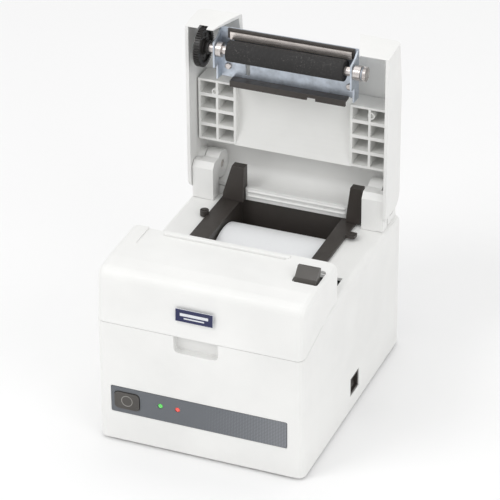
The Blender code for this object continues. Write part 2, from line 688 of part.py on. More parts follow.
def print_chassis():
    """Folded steel: a floor, a front wall and two side plates with open notches for the platen."""
    prong_front, prong_rear = PLATEN_Y - 7.6 * MM, CHASSIS_REAR
    wall_top = RIM_HEIGHT - 1 * MM
    prong_top = PLATEN_Z + 5.5 * MM
    slot = BEARING_RADIUS + SEAM
    lean = 0.25
    side = ([(CHASSIS_FRONT, CHASSIS_BOTTOM), (prong_rear, CHASSIS_BOTTOM), (prong_rear, prong_top),
             (PLATEN_Y + slot, prong_top)]
            + arc((PLATEN_Y, PLATEN_Z), slot, 360, 180, 10)
            + [(PLATEN_Y - slot - lean * (prong_top - PLATEN_Z), prong_top),
               (prong_front - 1 * MM, prong_top), (prong_front - 1 * MM, wall_top),
               (CHASSIS_FRONT, wall_top)])
    latch_hole = circle((LATCH_Y, LATCH_Z), 2 * MM + 2 * RUNNING)
    motor_hole = circle(pinion_centre(), 4 * MM, 24)
    chassis = plate("print_chassis", [side, latch_hole, motor_hole], CHASSIS_LEFT, CHASSIS_LEFT + SHEET)
    right = plate("chassis_right", [side, latch_hole], CHASSIS_RIGHT - SHEET, CHASSIS_RIGHT)
    inset = 0.2 * MM
    floor = box("chassis_floor", (CHASSIS_LEFT + inset, CHASSIS_FRONT + inset, CHASSIS_BOTTOM + inset / 2),
                (CHASSIS_RIGHT - inset, CHASSIS_REAR - inset, CHASSIS_BOTTOM + SHEET))
    wall = box("chassis_wall", (CHASSIS_LEFT + inset, CHASSIS_FRONT + inset, CHASSIS_BOTTOM + inset),
               (CHASSIS_RIGHT - inset, CHASSIS_FRONT + SHEET, wall_top - 3 * MM))
    axle = cylinder("idler_axle", (GEAR_OUTER_X - 1 * MM, *idler_centre()),
                    (CHASSIS_LEFT + inset, *idler_centre()), 2 * MM, 48)
    join(chassis, floor, wall, right, axle)
    return finish(chassis, ZINC)


def idler_centre():
    reach = pitch_radius(PLATEN_TEETH) + pitch_radius(IDLER_TEETH) + MESH_PLAY
    return (PLATEN_Y + reach * math.cos(IDLER_DIRECTION), PLATEN_Z + reach * math.sin(IDLER_DIRECTION))


def pinion_centre():
    reach = pitch_radius(IDLER_TEETH) + pitch_radius(PINION_TEETH) + MESH_PLAY
    centre = idler_centre()
    return (centre[0] + reach * math.cos(PINION_DIRECTION), centre[1] + reach * math.sin(PINION_DIRECTION))


def feed_train():
    """The idler, and the motor's pinion that drives it, on the left of the chassis."""
    half_step = math.pi / IDLER_TEETH
    idler_tooth = IDLER_DIRECTION + math.pi + half_step
    idler = plate("idler_gear", [gear_outline(idler_centre(), IDLER_TEETH, idler_tooth),
                                 circle(idler_centre(), 2 * MM + RUNNING)],
                  GEAR_OUTER_X, GEAR_OUTER_X + GEAR_WIDTH)
    finish(idler, BLACK)
    steps = (PINION_DIRECTION - idler_tooth) / (2 * math.pi / IDLER_TEETH)
    past_tooth = steps - math.floor(steps)
    pinion_tooth = PINION_DIRECTION + math.pi + (past_tooth + 0.5) * 2 * math.pi / PINION_TEETH
    centre = pinion_centre()
    pinion = plate("motor_pinion", [gear_outline(centre, PINION_TEETH, pinion_tooth)],
                   GEAR_OUTER_X, GEAR_OUTER_X + GEAR_WIDTH)
    join(pinion, cylinder("pinion_shaft", (GEAR_OUTER_X + 1 * MM, *centre),
                          (CHASSIS_LEFT + SHEET + 1.5 * MM, *centre), 1.5 * MM, 24))
    finish(pinion, STEEL)
    motor = cylinder("feed_motor", (CHASSIS_LEFT + SHEET + 2 * MM, *centre),
                     (CHASSIS_LEFT + SHEET + 26 * MM, *centre), 10 * MM, 40)
    return finish(motor, BLACK)


def print_head():
    """The ceramic head on its aluminium backing, pressed towards the platen by two springs."""
    reach = PLATEN_WIDTH / 2 + 0.5 * MM
    face = PLATEN_Y - PLATEN_RADIUS - 2 * SEAM
    top = BLADE_HEIGHT - 2 * GAP
    head = box("thermal_head", (-reach, face - SHEET, PLATEN_Z - PLATEN_RADIUS), (reach, face, top))
    finish(head, CERAMIC)
    back = face - SHEET - GAP
    heatsink = box("head_heatsink", (-reach, back - 3 * MM, PLATEN_Z - 15 * MM), (reach, back, top))
    finish(heatsink, ZINC)
    for name, x in (("head_spring_left", -25 * MM), ("head_spring_right", 25 * MM)):
        coil(name, (x, back - 3 * MM - 2 * GAP, PLATEN_Z - 11 * MM),
             (x, CHASSIS_FRONT + SHEET + 2 * GAP, PLATEN_Z - 11 * MM), 2.6 * MM, 0.7 * MM, 5, STEEL)


def rack_outline():
    """The cutting blade from above, with a toothed arm that reaches forward to its pinion."""
    pitch = math.pi * GEAR_MODULE
    root = RACK_X + RACK_WIDTH / 2 - 1.15 * GEAR_MODULE
    tip = RACK_X + RACK_WIDTH / 2 + 0.85 * GEAR_MODULE
    teeth = []
    count = int(RACK_LENGTH / pitch) - 1
    for tooth in range(count):
        y = PINION_Y + (tooth - count // 2) * pitch
        teeth += [(root, y - 0.36 * pitch), (tip, y - 0.14 * pitch), (tip, y + 0.14 * pitch),
                  (root, y + 0.36 * pitch)]
    reach = PLATEN_WIDTH / 2
    arm_left = RACK_X - RACK_WIDTH / 2
    arm_end = BLADE_FRONT - RACK_LENGTH
    return ([(-reach, BLADE_FRONT), (arm_left, BLADE_FRONT), (arm_left, arm_end), (root, arm_end)]
            + teeth + [(root, BLADE_FRONT), (reach, BLADE_FRONT), (reach, BLADE_REAR),
                       (0, BLADE_REAR - 1.2 * MM), (-reach, BLADE_REAR)])


def cutter():
    """The moving blade, the plate that it slides on, and the pinion and motor that drive its rack."""
    blade = plate("moving_blade", [rack_outline()], BLADE_HEIGHT, BLADE_HEIGHT + BLADE_THICKNESS, "XY")
    finish(blade, BLADE)
    frame_end = BLADE_FRONT - RACK_LENGTH - 8 * MM
    frame = box("cutter_frame", (-44 * MM, frame_end, FRAME_TOP - FRAME_THICKNESS),
                (45.5 * MM, PLATEN_Y - 17.5 * MM, FRAME_TOP))
    shaft_hole = cylinder("cutter_shaft_hole", (CUTTER_X, PINION_Y, FRAME_TOP - 5 * MM),
                          (CUTTER_X, PINION_Y, FRAME_TOP + 5 * MM), 2.2 * MM, 24)
    rail = box("cutter_rail", (-44 * MM, frame_end + 0.2 * MM, FRAME_TOP - 1 * MM),
               (-PLATEN_WIDTH / 2 - 1 * MM, PLATEN_Y - 17.7 * MM, FRAME_TOP + 3 * MM))
    join(frame, rail)
    finish(cut(frame, shaft_hole), ZINC)
    pinion = plate("cutter_pinion", [gear_outline((CUTTER_X, PINION_Y), CUTTER_TEETH,
                                                  math.pi + math.pi / CUTTER_TEETH)],
                   BLADE_HEIGHT - 0.1 * MM, BLADE_HEIGHT + 1.5 * MM, "XY")
    join(pinion, cylinder("cutter_shaft", (CUTTER_X, PINION_Y, FRAME_TOP - 3.5 * MM),
                          (CUTTER_X, PINION_Y, BLADE_HEIGHT + 1 * MM), 1.2 * MM, 24))
    finish(pinion, STEEL)
    motor = cylinder("cutter_motor", (CUTTER_X, PINION_Y, FRAME_TOP - 28 * MM),
                     (CUTTER_X, PINION_Y, FRAME_TOP - 4 * MM), 9 * MM, 32)
    return finish(motor, ZINC)


def latch():
    """The finger lever, and the cross shaft whose two hooks hold the platen's shaft."""
    inner = PLATEN_SHAFT_RADIUS + GAP
    reach = math.hypot(PLATEN_Y - LATCH_Y, PLATEN_Z - LATCH_Z) + inner
    deep = 3 * MM
    tip = 50
    centre = (LATCH_Y, LATCH_Z)
    band = (arc(centre, reach + deep, -8, tip, 12) + arc(centre, reach, tip, 14, 8)
            + [(LATCH_Y + 3 * MM, LATCH_Z + 4 * MM)] + arc(centre, 4.2 * MM, 60, 270, 10)
            + [(LATCH_Y + 4 * MM, LATCH_Z - 4.2 * MM)])
    shaft = cylinder("latch_shaft", (CHASSIS_LEFT - 2 * MM, *centre), (LEVER_RIGHT - 1 * MM, *centre),
                     2 * MM, 48)
    for side in (-1, 1):
        start = side * (PLATEN_WIDTH / 2 + 1.2 * MM)
        join(shaft, plate(f"latch_hook_{side}", [band], start, start + side * 2.2 * MM))
    finish(shaft, ZINC)
    tab_low = (LEVER_Y, COVER_TOP - 4 * MM)
    grip = [tab_low, (LEVER_Y + 2 * MM, COVER_TOP + 1 * MM), (LEVER_Y + 7.5 * MM, COVER_TOP + 6.5 * MM),
            (LEVER_Y + 10 * MM, COVER_TOP + 6 * MM), (LEVER_Y + 8 * MM, COVER_TOP - 2 * MM),
            (LEVER_Y + 7 * MM, COVER_TOP - 6 * MM)]
    lever = plate("cover_lever", [grip], LEVER_LEFT, LEVER_RIGHT)
    hub = circle(centre, 4.5 * MM, 24)
    arm_left = LEVER_LEFT + 3 * MM
    arm = [(LATCH_Y - 4.4 * MM, LATCH_Z + 0.5 * MM), (LATCH_Y + 3.5 * MM, LATCH_Z + 2.5 * MM),
           (LEVER_Y + 7.5 * MM, COVER_TOP - 2 * MM), (LEVER_Y + 1 * MM, COVER_TOP - 2.5 * MM)]
    join(lever, plate("lever_arm", [arm], arm_left, arm_left + 5 * MM),
         plate("lever_hub", [hub], arm_left - 0.5 * MM, arm_left + 5.5 * MM))
    cut(lever, cylinder("lever_bore", (arm_left - 5 * MM, *centre), (arm_left + 10 * MM, *centre),
                        2 * MM + GAP, 32))
    return finish(lever, LEVER_GREY)


# Front cover

def cover_outline(inset):
    """The cover from the side, run on past the places where its bottom and rear are cut off."""
    base = FRONT + inset
    top = COVER_TOP - inset
    low = COVER_FRONT_HEIGHT - 12 * MM
    rear = SPLIT + 12 * MM
    nose = ((FRONT + 10.5 * MM, COVER_TOP - 10 * MM), 8 * MM - inset)
    return ([(rear, low), (base, low), (base, COVER_FRONT_HEIGHT), (base + 1.6 * MM, RIM_HEIGHT + 4 * MM)]
            + arc(*nose, 172, 90, 8) + [(FRONT + 19 * MM, top - 0.8 * MM), (rear, top + 0.2 * MM)])


def front_cover():
    cover = plate("front_cover", [cover_outline(0)], -HALF, HALF, "YZ", CORNER_RADIUS)
    over = 5 * MM
    (bend_y, bend_z), (front_y, front_z) = seam_line(SEAM)
    fall = (bend_z - front_z) / (bend_y - front_y)
    low = FOOT_HEIGHT
    below = [(front_y - over, front_z - over * fall), (bend_y, bend_z), (SPLIT + 4 * over, bend_z),
             (SPLIT + 4 * over, low), (front_y - over, low)]
    cut(cover, plate("cover_seam", [below], -HALF - over, HALF + over),
        box("cover_split", (-HALF - over, SPLIT, low), (HALF + over, SPLIT + 4 * over, CLOSED_HEIGHT + over)))
    cut(cover, plate("cover_inside", [cover_outline(WALL)], -INNER, INNER, "YZ", CORNER_RADIUS - WALL))
    lip = box("cover_lip", (-EXIT_WIDTH / 2 + 1 * MM, SPLIT - WALL, RIM_HEIGHT + 14 * MM),
              (EXIT_WIDTH / 2 - 1 * MM, SPLIT - 0.1 * MM, COVER_TOP - 1 * MM))
    join(cover, lip)
    trough = box("cover_trough", (-58 * MM, SPLIT - 24 * MM, COVER_TOP - 1.1 * MM),
                 (38 * MM, SPLIT + 10 * MM, COVER_TOP + 10 * MM), 5 * MM, "Z")
    notch = box("lever_notch", (LEVER_LEFT - 1.2 * MM, LEVER_Y - 1.2 * MM, COVER_TOP - 12 * MM),
                (LEVER_RIGHT + 1.2 * MM, LEVER_Y + 17 * MM, COVER_TOP + 10 * MM), 2 * MM, "Z")
    cut(cover, trough, notch)
    return finish(cover, WHITE)


def name_plate():
    """A plain coloured badge, tilted to lie along the cover's leaning front."""
    lean = math.atan2(1.6 * MM, RIM_HEIGHT + 4 * MM - COVER_FRONT_HEIGHT - SEAM)
    badge = box("name_plate", (-12.5 * MM, -0.4 * MM, -4.2 * MM), (12.5 * MM, 0.4 * MM, 4.2 * MM), 0.8 * MM, "Y")
    out = 0.4 * MM + GAP
    height = RIM_HEIGHT + 4 * MM
    face = FRONT + 1.6 * MM + 0.6 * MM * math.sin(lean)
    badge.location = (-2.5 * MM, face - out - 1.1 * MM, height + 0.8 * MM)
    badge.rotation_euler = (-math.radians(3), 0, 0)
    return finish(badge, BLUE)


def cover_plunger():
    """A small sprung bar beside the bay, pressed by the closed lid."""
    bar = box("lid_sensor_bar", (FLANGE_RIGHT + GAP, BAY_Y + 9 * MM, DECK_TOP + PLUNGER_TRAVEL + 0.3 * MM),
              (FLANGE_RIGHT + 7 * MM, BAY_Y + 15 * MM, DECK_TOP + PLUNGER_TRAVEL + 2.3 * MM), 0.8 * MM, "Z")
    return finish(bar, BLACK)


# Lid, laid out closed

def roof(top, front):
    """The lid's upper outline, from its front edge over to the start of its rear face."""
    drop = LID_FRONT_DROP
    centre = (REAR - HINGE_INSET, top - HINGE_INSET)
    slope_end = LID_FRONT + LID_SLOPE_LENGTH
    start = top - drop * (slope_end - front) / LID_SLOPE_LENGTH
    return [(front, start), (slope_end, top)] + arc(centre, HINGE_INSET, 90, 0, 10)


def lid_shell():
    top = CLOSED_HEIGHT - LID_PLATEAU_RISE
    over = 12 * MM
    low = RIM_HEIGHT - over
    shell = plate("lid_shell", [roof(top, LID_FRONT - over) + [(REAR, low), (LID_FRONT - over, low)]],
                  -HALF, HALF, "YZ", CORNER_RADIUS)
    corner_low = HINGE.z - math.sqrt(LID_CORNER ** 2 - HINGE_INSET ** 2)
    corner_in = math.sqrt(LID_CORNER ** 2 - (HINGE.z - LID_EDGE) ** 2)
    start = math.degrees(math.atan2(LID_EDGE - HINGE.z, corner_in))
    end = math.degrees(math.atan2(corner_low - HINGE.z, HINGE_INSET))
    below = ([(LID_FRONT - 2 * over, LID_EDGE)] + arc((HINGE.y, HINGE.z), LID_CORNER, start, end, 6)
             + [(REAR + over, corner_low), (REAR + over, low - over), (LID_FRONT - 2 * over, low - over)])
    ahead = LID_FRONT - 2 * over
    swing = arc((HINGE.y, HINGE.z), HINGE.y - LID_FRONT, 194, 180, 6)
    before = [(ahead, swing[0][1])] + swing + [(LID_FRONT, CLOSED_HEIGHT), (ahead, CLOSED_HEIGHT)]
    cut(shell, plate("lid_underside", [below], -HALF - over, HALF + over),
        plate("lid_front", [before], -HALF - over, HALF + over))
    plateau_roof = roof(CLOSED_HEIGHT, LID_FRONT + 0.2 * MM)
    plateau = plateau_roof + [(REAR - 1 * MM, HINGE.z - 1 * MM)]
    plateau += [(y - 1.5 * MM if y > HINGE.y else y, z - 2.6 * MM) for y, z in reversed(plateau_roof[:-1])]
    join(shell, plate("lid_plateau", [plateau], -LID_PLATEAU_WIDTH / 2, LID_PLATEAU_WIDTH / 2))
    under = [(y, z - WALL) for y, z in roof(top, LID_FRONT + WALL)[:2]]
    barrel = arc((HINGE.y, HINGE.z), HINGE_INSET - WALL, 80, 0, 10)
    hollow = (under + barrel + [(REAR - WALL, LIP_HEIGHT), (REAR + 10 * MM, LIP_HEIGHT),
                                (REAR + 10 * MM, RIM_HEIGHT - 10 * MM), (LID_FRONT + WALL, RIM_HEIGHT - 10 * MM)])
    cut(shell, plate("lid_hollow", [hollow], -INNER, INNER))
    half = EXIT_WIDTH / 2
    brow = CLOSED_HEIGHT - LID_FRONT_DROP
    mouth = [(-half - EAR_SLANT, RIM_HEIGHT - 1 * MM), (half + EAR_SLANT, RIM_HEIGHT - 1 * MM), (half, brow),
             (half, brow + 15 * MM), (-half, brow + 15 * MM), (-half, brow)]
    cut(shell, plate("lid_mouth", [mouth], LID_FRONT - 5 * MM, LID_FRONT + EXIT_DEPTH, "XZ"))
    cut(shell, cylinder("lid_gear_room", (GEAR_OUTER_X - 1 * MM, PLATEN_Y, PLATEN_Z),
                        (GEAR_OUTER_X + GEAR_WIDTH + 1 * MM, PLATEN_Y, PLATEN_Z), GEAR_ROOM, 64))
    for side_sign in (-1, 1):
        inner = side_sign * (INNER - KNUCKLE_WIDTH)
        join(shell, cylinder(f"lid_knuckle_{side_sign}", (inner, HINGE.y, HINGE.z),
                             (side_sign * (INNER + 0.6 * MM), HINGE.y, HINGE.z), KNUCKLE_RADIUS, 40))
    cut(shell, cylinder("lid_bore", (-INNER + 0.1 * MM, HINGE.y, HINGE.z), (INNER - 0.1 * MM, HINGE.y, HINGE.z),
                        PIN_RADIUS + RUNNING, 48))
    return finish(shell, WHITE)


def lid_liner():
    """The ribbed inner moulding: a curved roof over the roll, with a grid of ribs on each side."""
    roof_radius = 57 * MM
    half_angle = math.degrees(math.asin(25 * MM / roof_radius))
    centre = (BAY_Y, VAULT_CENTRE_HEIGHT)
    vault = (arc(centre, roof_radius, 90 - half_angle, 90 + half_angle, 14)
             + arc(centre, roof_radius + 1.8 * MM, 90 + half_angle, 90 - half_angle, 14))
    liner = plate("lid_liner", [vault], -LINER_SPLIT - 0.8 * MM, LINER_SPLIT + 0.8 * MM)
    front, rear = BAY_Y - 20 * MM, BAY_Y + 24 * MM
    rows = 4
    step = (rear - front) / rows
    thick = 1.6 * MM
    for side in (-1, 1):
        inner, outer = LINER_SPLIT, INNER - 1.2 * MM
        middle = (inner + outer) / 2
        holes = []
        for row in range(rows):
            low, high = front + row * step + thick, front + (row + 1) * step - thick / 2
            for left, right in ((inner + thick, middle - thick / 2), (middle + thick / 2, outer - thick)):
                holes.append([(side * x, y) for x, y in rectangle(left, right, low, high)])
        rim = [(side * x, y) for x, y in rectangle(inner, outer, front, rear + thick / 2)]
        join(liner, plate(f"liner_ribs_{side}", [rim] + holes, HINGE.z - 7 * MM,
                          CLOSED_HEIGHT - LID_PLATEAU_RISE - WALL - GAP, "XY"))
    return finish(liner, WHITE)


def platen_bracket():
    """Zinc-plated sheet: a back plate over the platen and two flanges that carry its bearings."""
    front, rear = LID_FRONT + WALL + SEAM, PLATEN_Y + BRACKET_REACH
    top = BRACKET_HEIGHT + SHEET
    bracket = box("platen_bracket", (BRACKET_LEFT, front, BRACKET_HEIGHT), (BRACKET_RIGHT, rear, top))
    step_y = DECK_FRONT - SEAM
    flange = [(PLATEN_Y - 6 * MM, PLATEN_Z - 4.5 * MM), (step_y, PLATEN_Z - 4.5 * MM),
              (step_y, FLANGE_TOP + 1.2 * MM), (rear - 0.3 * MM, FLANGE_TOP + 1.2 * MM),
              (rear - 0.3 * MM, top - 0.3 * MM), (front + 0.3 * MM, top - 0.3 * MM),
              (PLATEN_Y - 8 * MM, PLATEN_Z + 3 * MM)]
    hole = circle((PLATEN_Y, PLATEN_Z), PLATEN_SHAFT_RADIUS + 2 * GAP, 32)
    for index, left in enumerate((BRACKET_LEFT, BRACKET_RIGHT - SHEET)):
        shift = 0.1 * MM if index == 0 else -0.1 * MM
        join(bracket, plate(f"bracket_flange_{index}", [flange, hole], left + shift, left + shift + SHEET))
    slot = box("bracket_slot", (-31.5 * MM, PLATEN_Y + 10 * MM, BRACKET_HEIGHT - 5 * MM),
               (-28.5 * MM, PLATEN_Y + 20 * MM, BRACKET_HEIGHT + 5 * MM))
    return finish(cut(bracket, slot), ZINC)


def paper_guide():
    reach = PLATEN_WIDTH / 2
    start = PLATEN_Y + BRACKET_REACH - 0.8 * MM
    riser_top = BRACKET_HEIGHT - GAP
    lip_low = FLANGE_TOP + 0.7 * MM
    outline = [(start, lip_low), (start + 4.4 * MM, lip_low), (start + 4.4 * MM, lip_low + 1.6 * MM),
               (start + 1.8 * MM, lip_low + 1.6 * MM), (start + 1.8 * MM, riser_top), (start, riser_top)]
    guide = plate("paper_guide", [outline], -reach, reach)
    notch = box("guide_notch", (13.5 * MM, start + 2.5 * MM, lip_low - 5 * MM),
                (19.5 * MM, start + 15 * MM, lip_low + 4 * MM))
    return finish(cut(guide, notch), BLACK)


def fixed_blade():
    """The bright blade along the platen, and the black holder that carries it."""
    low = BLADE_HEIGHT + BLADE_THICKNESS + 0.5 * MM
    front = LID_FRONT + 4 * MM
    high = low + 1 * MM
    blade = box("fixed_blade", (-41 * MM, front, low), (42.5 * MM, front + 5.2 * MM, high))
    finish(blade, BLADE)
    holder = box("blade_holder", (-43 * MM, front - 1.7 * MM, high + GAP),
                 (44 * MM, front + 5 * MM, BRACKET_HEIGHT - GAP))
    return finish(holder, BLACK)


def platen():
    """The rubber-covered roller, with its shaft and the feed gear on the shaft's left end."""
    centre = (PLATEN_Y, PLATEN_Z)
    bore = circle(centre, PLATEN_SHAFT_RADIUS + GAP, 32)
    reach = PLATEN_WIDTH / 2
    shaft = cylinder("platen_shaft", (-PLATEN_SHAFT_LEFT, *centre), (PLATEN_SHAFT_RIGHT, *centre),
                     PLATEN_SHAFT_RADIUS, 48)
    rubber = plate("platen_rubber", [circle(centre, PLATEN_RADIUS), bore], -reach, reach)
    gear = plate("platen_gear", [gear_outline(centre, PLATEN_TEETH, IDLER_DIRECTION), bore],
                 GEAR_OUTER_X, GEAR_OUTER_X + GEAR_WIDTH)
    return [finish(shaft, STEEL), finish(rubber, RUBBER), finish(gear, BLACK)]


def platen_bearings():
    bearings = []
    hole = PLATEN_SHAFT_RADIUS + RUNNING
    centre = (PLATEN_Y, PLATEN_Z)
    for name, start, end in (("platen_bearing_left", BRACKET_LEFT + SHEET + 0.6 * MM, BRACKET_LEFT + 5.4 * MM),
                             ("platen_bearing_right", BRACKET_RIGHT + 0.4 * MM, BRACKET_RIGHT + 5.2 * MM)):
        ring = plate(name, [circle(centre, BEARING_RADIUS), circle(centre, hole)], start, end)
        bearings.append(finish(ring, BLADE))
    return bearings


def paper():
    """The paper roll on its card core, resting in the bucket."""
    left, right = BAY_CENTRE_X - ROLL_WIDTH / 2, BAY_CENTRE_X + ROLL_WIDTH / 2
    centre = (BAY_Y, ROLL_CENTRE_HEIGHT)
    roll = plate("paper_roll", [circle(centre, ROLL_RADIUS, 64), circle(centre, CORE_RADIUS + GAP)],
                 left, right)
    core = plate("roll_core", [circle(centre, CORE_RADIUS), circle(centre, CORE_RADIUS - CORE_WALL)],
                 left, right)
    return [finish(roll, PAPER), finish(core, CARD)]


def build():
    main_case()
    rear_cradle()
    bottom_tray()
    rubber_feet()
    control_strip()
    indicator_lenses()
    panel_board()
    rear_sockets()
    main_board()
    paper_bucket()
    guide_posts()
    hinge_towers()
    print_chassis()
    feed_train()
    print_head()
    cutter()

    button_axis = axis_empty("feed_button_axis", (BUTTON_X, FRONT, BUTTON_Z))
    hold([feed_button()], button_axis)
    switch_axis = axis_empty("power_rocker_axis", (HALF - 4.2 * MM, SWITCH_Y, SWITCH_Z))
    hold([power_switch()], switch_axis)
    latch_axis = axis_empty("latch_axis", (0, LATCH_Y, LATCH_Z))
    hold([latch(), bpy.data.objects["latch_shaft"]], latch_axis)
    cover_axis = axis_empty("front_cover_axis", (0, SPLIT - 3 * MM, COVER_TOP - 1.3 * MM))
    hold([front_cover(), name_plate()], cover_axis)
    bar_axis = axis_empty("lid_sensor_axis", (FLANGE_RIGHT, BAY_Y, DECK_TOP))
    hold([cover_plunger()], bar_axis)
    roll_axis = axis_empty("paper_roll_axis", (0, BAY_Y, ROLL_CENTRE_HEIGHT))
    hold(paper(), roll_axis)

    lid_axis = axis_empty("lid_axis", HINGE)
    hold([lid_shell(), lid_liner(), platen_bracket(), paper_guide(), fixed_blade(),
          bpy.data.objects["fixed_blade"]] + platen_bearings() + platen(), lid_axis)
    lid_axis.rotation_euler = (-math.radians(LID_OPEN_ANGLE), 0, 0)


build()
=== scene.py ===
# %% [markdown]
# # A receipt printer, lid open
#
# The printer's working parts, their sizes and their joints are already made, and this lesson gives them
# their looks. The plan: load the parts, build a small tool for writing shaders, mix each finish
# (moulded plastic, rubber, zinc plate, ground steel, paper), model the pieces that deserve more detail
# than a working model has, and set the printer in a soft pale studio.

# %% Load the working parts
import math

import bmesh
import bpy
from mathutils import Matrix, Vector


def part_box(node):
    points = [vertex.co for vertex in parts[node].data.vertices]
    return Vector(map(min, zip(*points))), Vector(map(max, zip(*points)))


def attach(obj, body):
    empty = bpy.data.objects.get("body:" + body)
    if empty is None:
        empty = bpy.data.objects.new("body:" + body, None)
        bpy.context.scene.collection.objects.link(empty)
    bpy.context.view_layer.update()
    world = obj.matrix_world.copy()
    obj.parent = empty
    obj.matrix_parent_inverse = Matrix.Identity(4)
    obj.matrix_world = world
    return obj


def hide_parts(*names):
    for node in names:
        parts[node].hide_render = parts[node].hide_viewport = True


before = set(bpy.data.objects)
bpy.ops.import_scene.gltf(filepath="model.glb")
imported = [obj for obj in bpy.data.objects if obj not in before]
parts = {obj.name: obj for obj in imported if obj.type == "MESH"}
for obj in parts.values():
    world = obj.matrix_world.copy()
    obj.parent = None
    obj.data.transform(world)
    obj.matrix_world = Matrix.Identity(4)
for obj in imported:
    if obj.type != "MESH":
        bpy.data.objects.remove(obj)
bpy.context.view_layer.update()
MM = 0.001

# %% [markdown]
# ## A small language for shaders
#
# A procedural finish is arithmetic on positions: grain is noise added to a colour, wear is a mask
# multiplied by another. Written node by node it is long and hard to read, so `Value` wraps a socket and
# lets Python's operators add the Math nodes. `Finish` holds one material and adds every other node.


# %% Shader arithmetic
class Value:
    """A number or vector in a shader, with Python's operators for its arithmetic."""

    def __init__(self, finish, socket):
        self.finish = finish
        self.socket = socket

    def math(self, operation, *others):
        return self.finish.node("ShaderNodeMath", {"operation": operation}, [self, *others])

    def __add__(self, other):
        return self.math("ADD", other)

    def __sub__(self, other):
        return self.math("SUBTRACT", other)

    def __rsub__(self, other):
        return self.finish.node("ShaderNodeMath", {"operation": "SUBTRACT"}, [other, self])

    def __mul__(self, other):
        return self.math("MULTIPLY", other)

    def __truediv__(self, other):
        return self.math("DIVIDE", other)

    def __gt__(self, other):
        return self.math("GREATER_THAN", other)

    def __lt__(self, other):
        return self.math("LESS_THAN", other)

    __radd__ = __add__
    __rmul__ = __mul__


class Finish:
    """One material: a Principled shader and the nodes that feed it."""

    def __init__(self, name, colour, roughness, metallic=0.0, **constants):
        self.material = bpy.data.materials.new(name)
        self.material.use_nodes = True
        self.tree = self.material.node_tree
        self.shader = self.tree.nodes["Principled BSDF"]
        self.colour = (*colour, 1.0)
        self.feed("Base Color", self.colour)
        self.feed("Roughness", roughness)
        self.feed("Metallic", metallic)
        for socket, number in constants.items():
            self.feed(socket.replace("_", " "), number)

    def feed(self, socket, value, shader=None):
        target = (shader or self.shader).inputs[socket]
        if isinstance(value, Value):
            self.tree.links.new(value.socket, target)
        else:
            target.default_value = value

    def node(self, kind, settings=None, inputs=(), output=0):
        """Add one node: its settings first, then a value or a link for each of its inputs."""
        made = self.tree.nodes.new(kind)
        for setting, choice in (settings or {}).items():
            setattr(made, setting, choice)
        pairs = inputs.items() if isinstance(inputs, dict) else enumerate(inputs)
        for socket, value in pairs:
            if isinstance(value, Value):
                self.tree.links.new(value.socket, made.inputs[socket])
            else:
                made.inputs[socket].default_value = value
        return Value(self, made.outputs[output])

    def place(self):
        return self.node("ShaderNodeTexCoord", output="Object")

    def axes(self):
        """The position's three numbers, in metres."""
        split = self.node("ShaderNodeSeparateXYZ", {}, [self.place()])
        return [Value(self, split.socket.node.outputs[axis]) for axis in range(3)]

    def stretched(self, scale):
        return self.node("ShaderNodeMapping", {}, {"Vector": self.place(), "Scale": scale})

    def noise(self, scale, detail=3.0, vector=None, roughness=0.55):
        return self.node("ShaderNodeTexNoise", {}, {"Vector": vector or self.place(), "Scale": scale,
                                                     "Detail": detail, "Roughness": roughness})

    def between(self, value, low, high, to_low=0.0, to_high=1.0):
        """Carry a value from one range to another, held at both ends."""
        return self.node("ShaderNodeMapRange", {"clamp": True}, [value, low, high, to_low, to_high])

    def mix(self, share, first, second):
        """A colour part way from the first to the second."""
        made = self.tree.nodes.new("ShaderNodeMix")
        made.data_type = "RGBA"
        for socket, value in (("Factor_Float", share), ("A_Color", first), ("B_Color", second)):
            target = next(each for each in made.inputs if each.identifier == socket)
            if isinstance(value, Value):
                self.tree.links.new(value.socket, target)
            else:
                target.default_value = value
        return Value(self, next(each for each in made.outputs if each.identifier == "Result_Color"))

    def edges(self, width):
        """A mask that is 1 along sharp edges, where handling rubs a surface."""
        rounded = self.node("ShaderNodeBevel", {"samples": 4}, {"Radius": width})
        plain = self.node("ShaderNodeNewGeometry", output="Normal")
        likeness = self.node("ShaderNodeVectorMath", {"operation": "DOT_PRODUCT"}, [rounded, plain],
                             output="Value")
        return self.between(likeness, 0.75, 0.99, 1.0, 0.0)

    def bump(self, height, distance, strength=1.0):
        self.feed("Normal", self.node("ShaderNodeBump", {}, {"Height": height, "Distance": distance,
                                                             "Strength": strength}))


def tone(colour, factor):
    return tuple(min(1.0, part * factor) for part in colour[:3]) + (1.0,)


print("shader tools ready")

# %% [markdown]
# ## Moulded plastic
#
# The case is ABS from a spark-eroded tool, so its skin is a fine even grain that scatters highlights.
# Three sizes of noise give it life: the grain itself as a bump, a slow drift of colour from the
# moulding, and faint smears where hands have polished it, which change only the roughness.


# %% Moulded plastic
def moulded(name, colour, roughness, grain=0.00045, depth=0.00003, drift=0.03, wear=0.10):
    made = Finish(name, colour, roughness)
    fine = made.noise(1 / grain, 2.0)
    slow = made.noise(18.0, 3.0)
    smear = made.noise(1.0, 4.0, made.stretched((60.0, 60.0, 22.0)))
    shade = made.between(slow, 0.35, 0.65)
    body = made.mix(shade, tone(made.colour, 1 - drift), tone(made.colour, 1 + drift))
    rubbed = made.edges(0.0007) * made.between(smear, 0.4, 0.6, 0.3, 1.0)
    lighter = tuple(part + (1 - part) * wear for part in colour) + (1.0,)
    made.feed("Base Color", made.mix(rubbed * 0.6, body, lighter))
    made.feed("Roughness", made.between(smear, 0.38, 0.62, roughness - 0.06, roughness + 0.07)
              + made.between(fine, 0.3, 0.7, -0.03, 0.03))
    made.bump(fine, depth, 0.55)
    return made.material


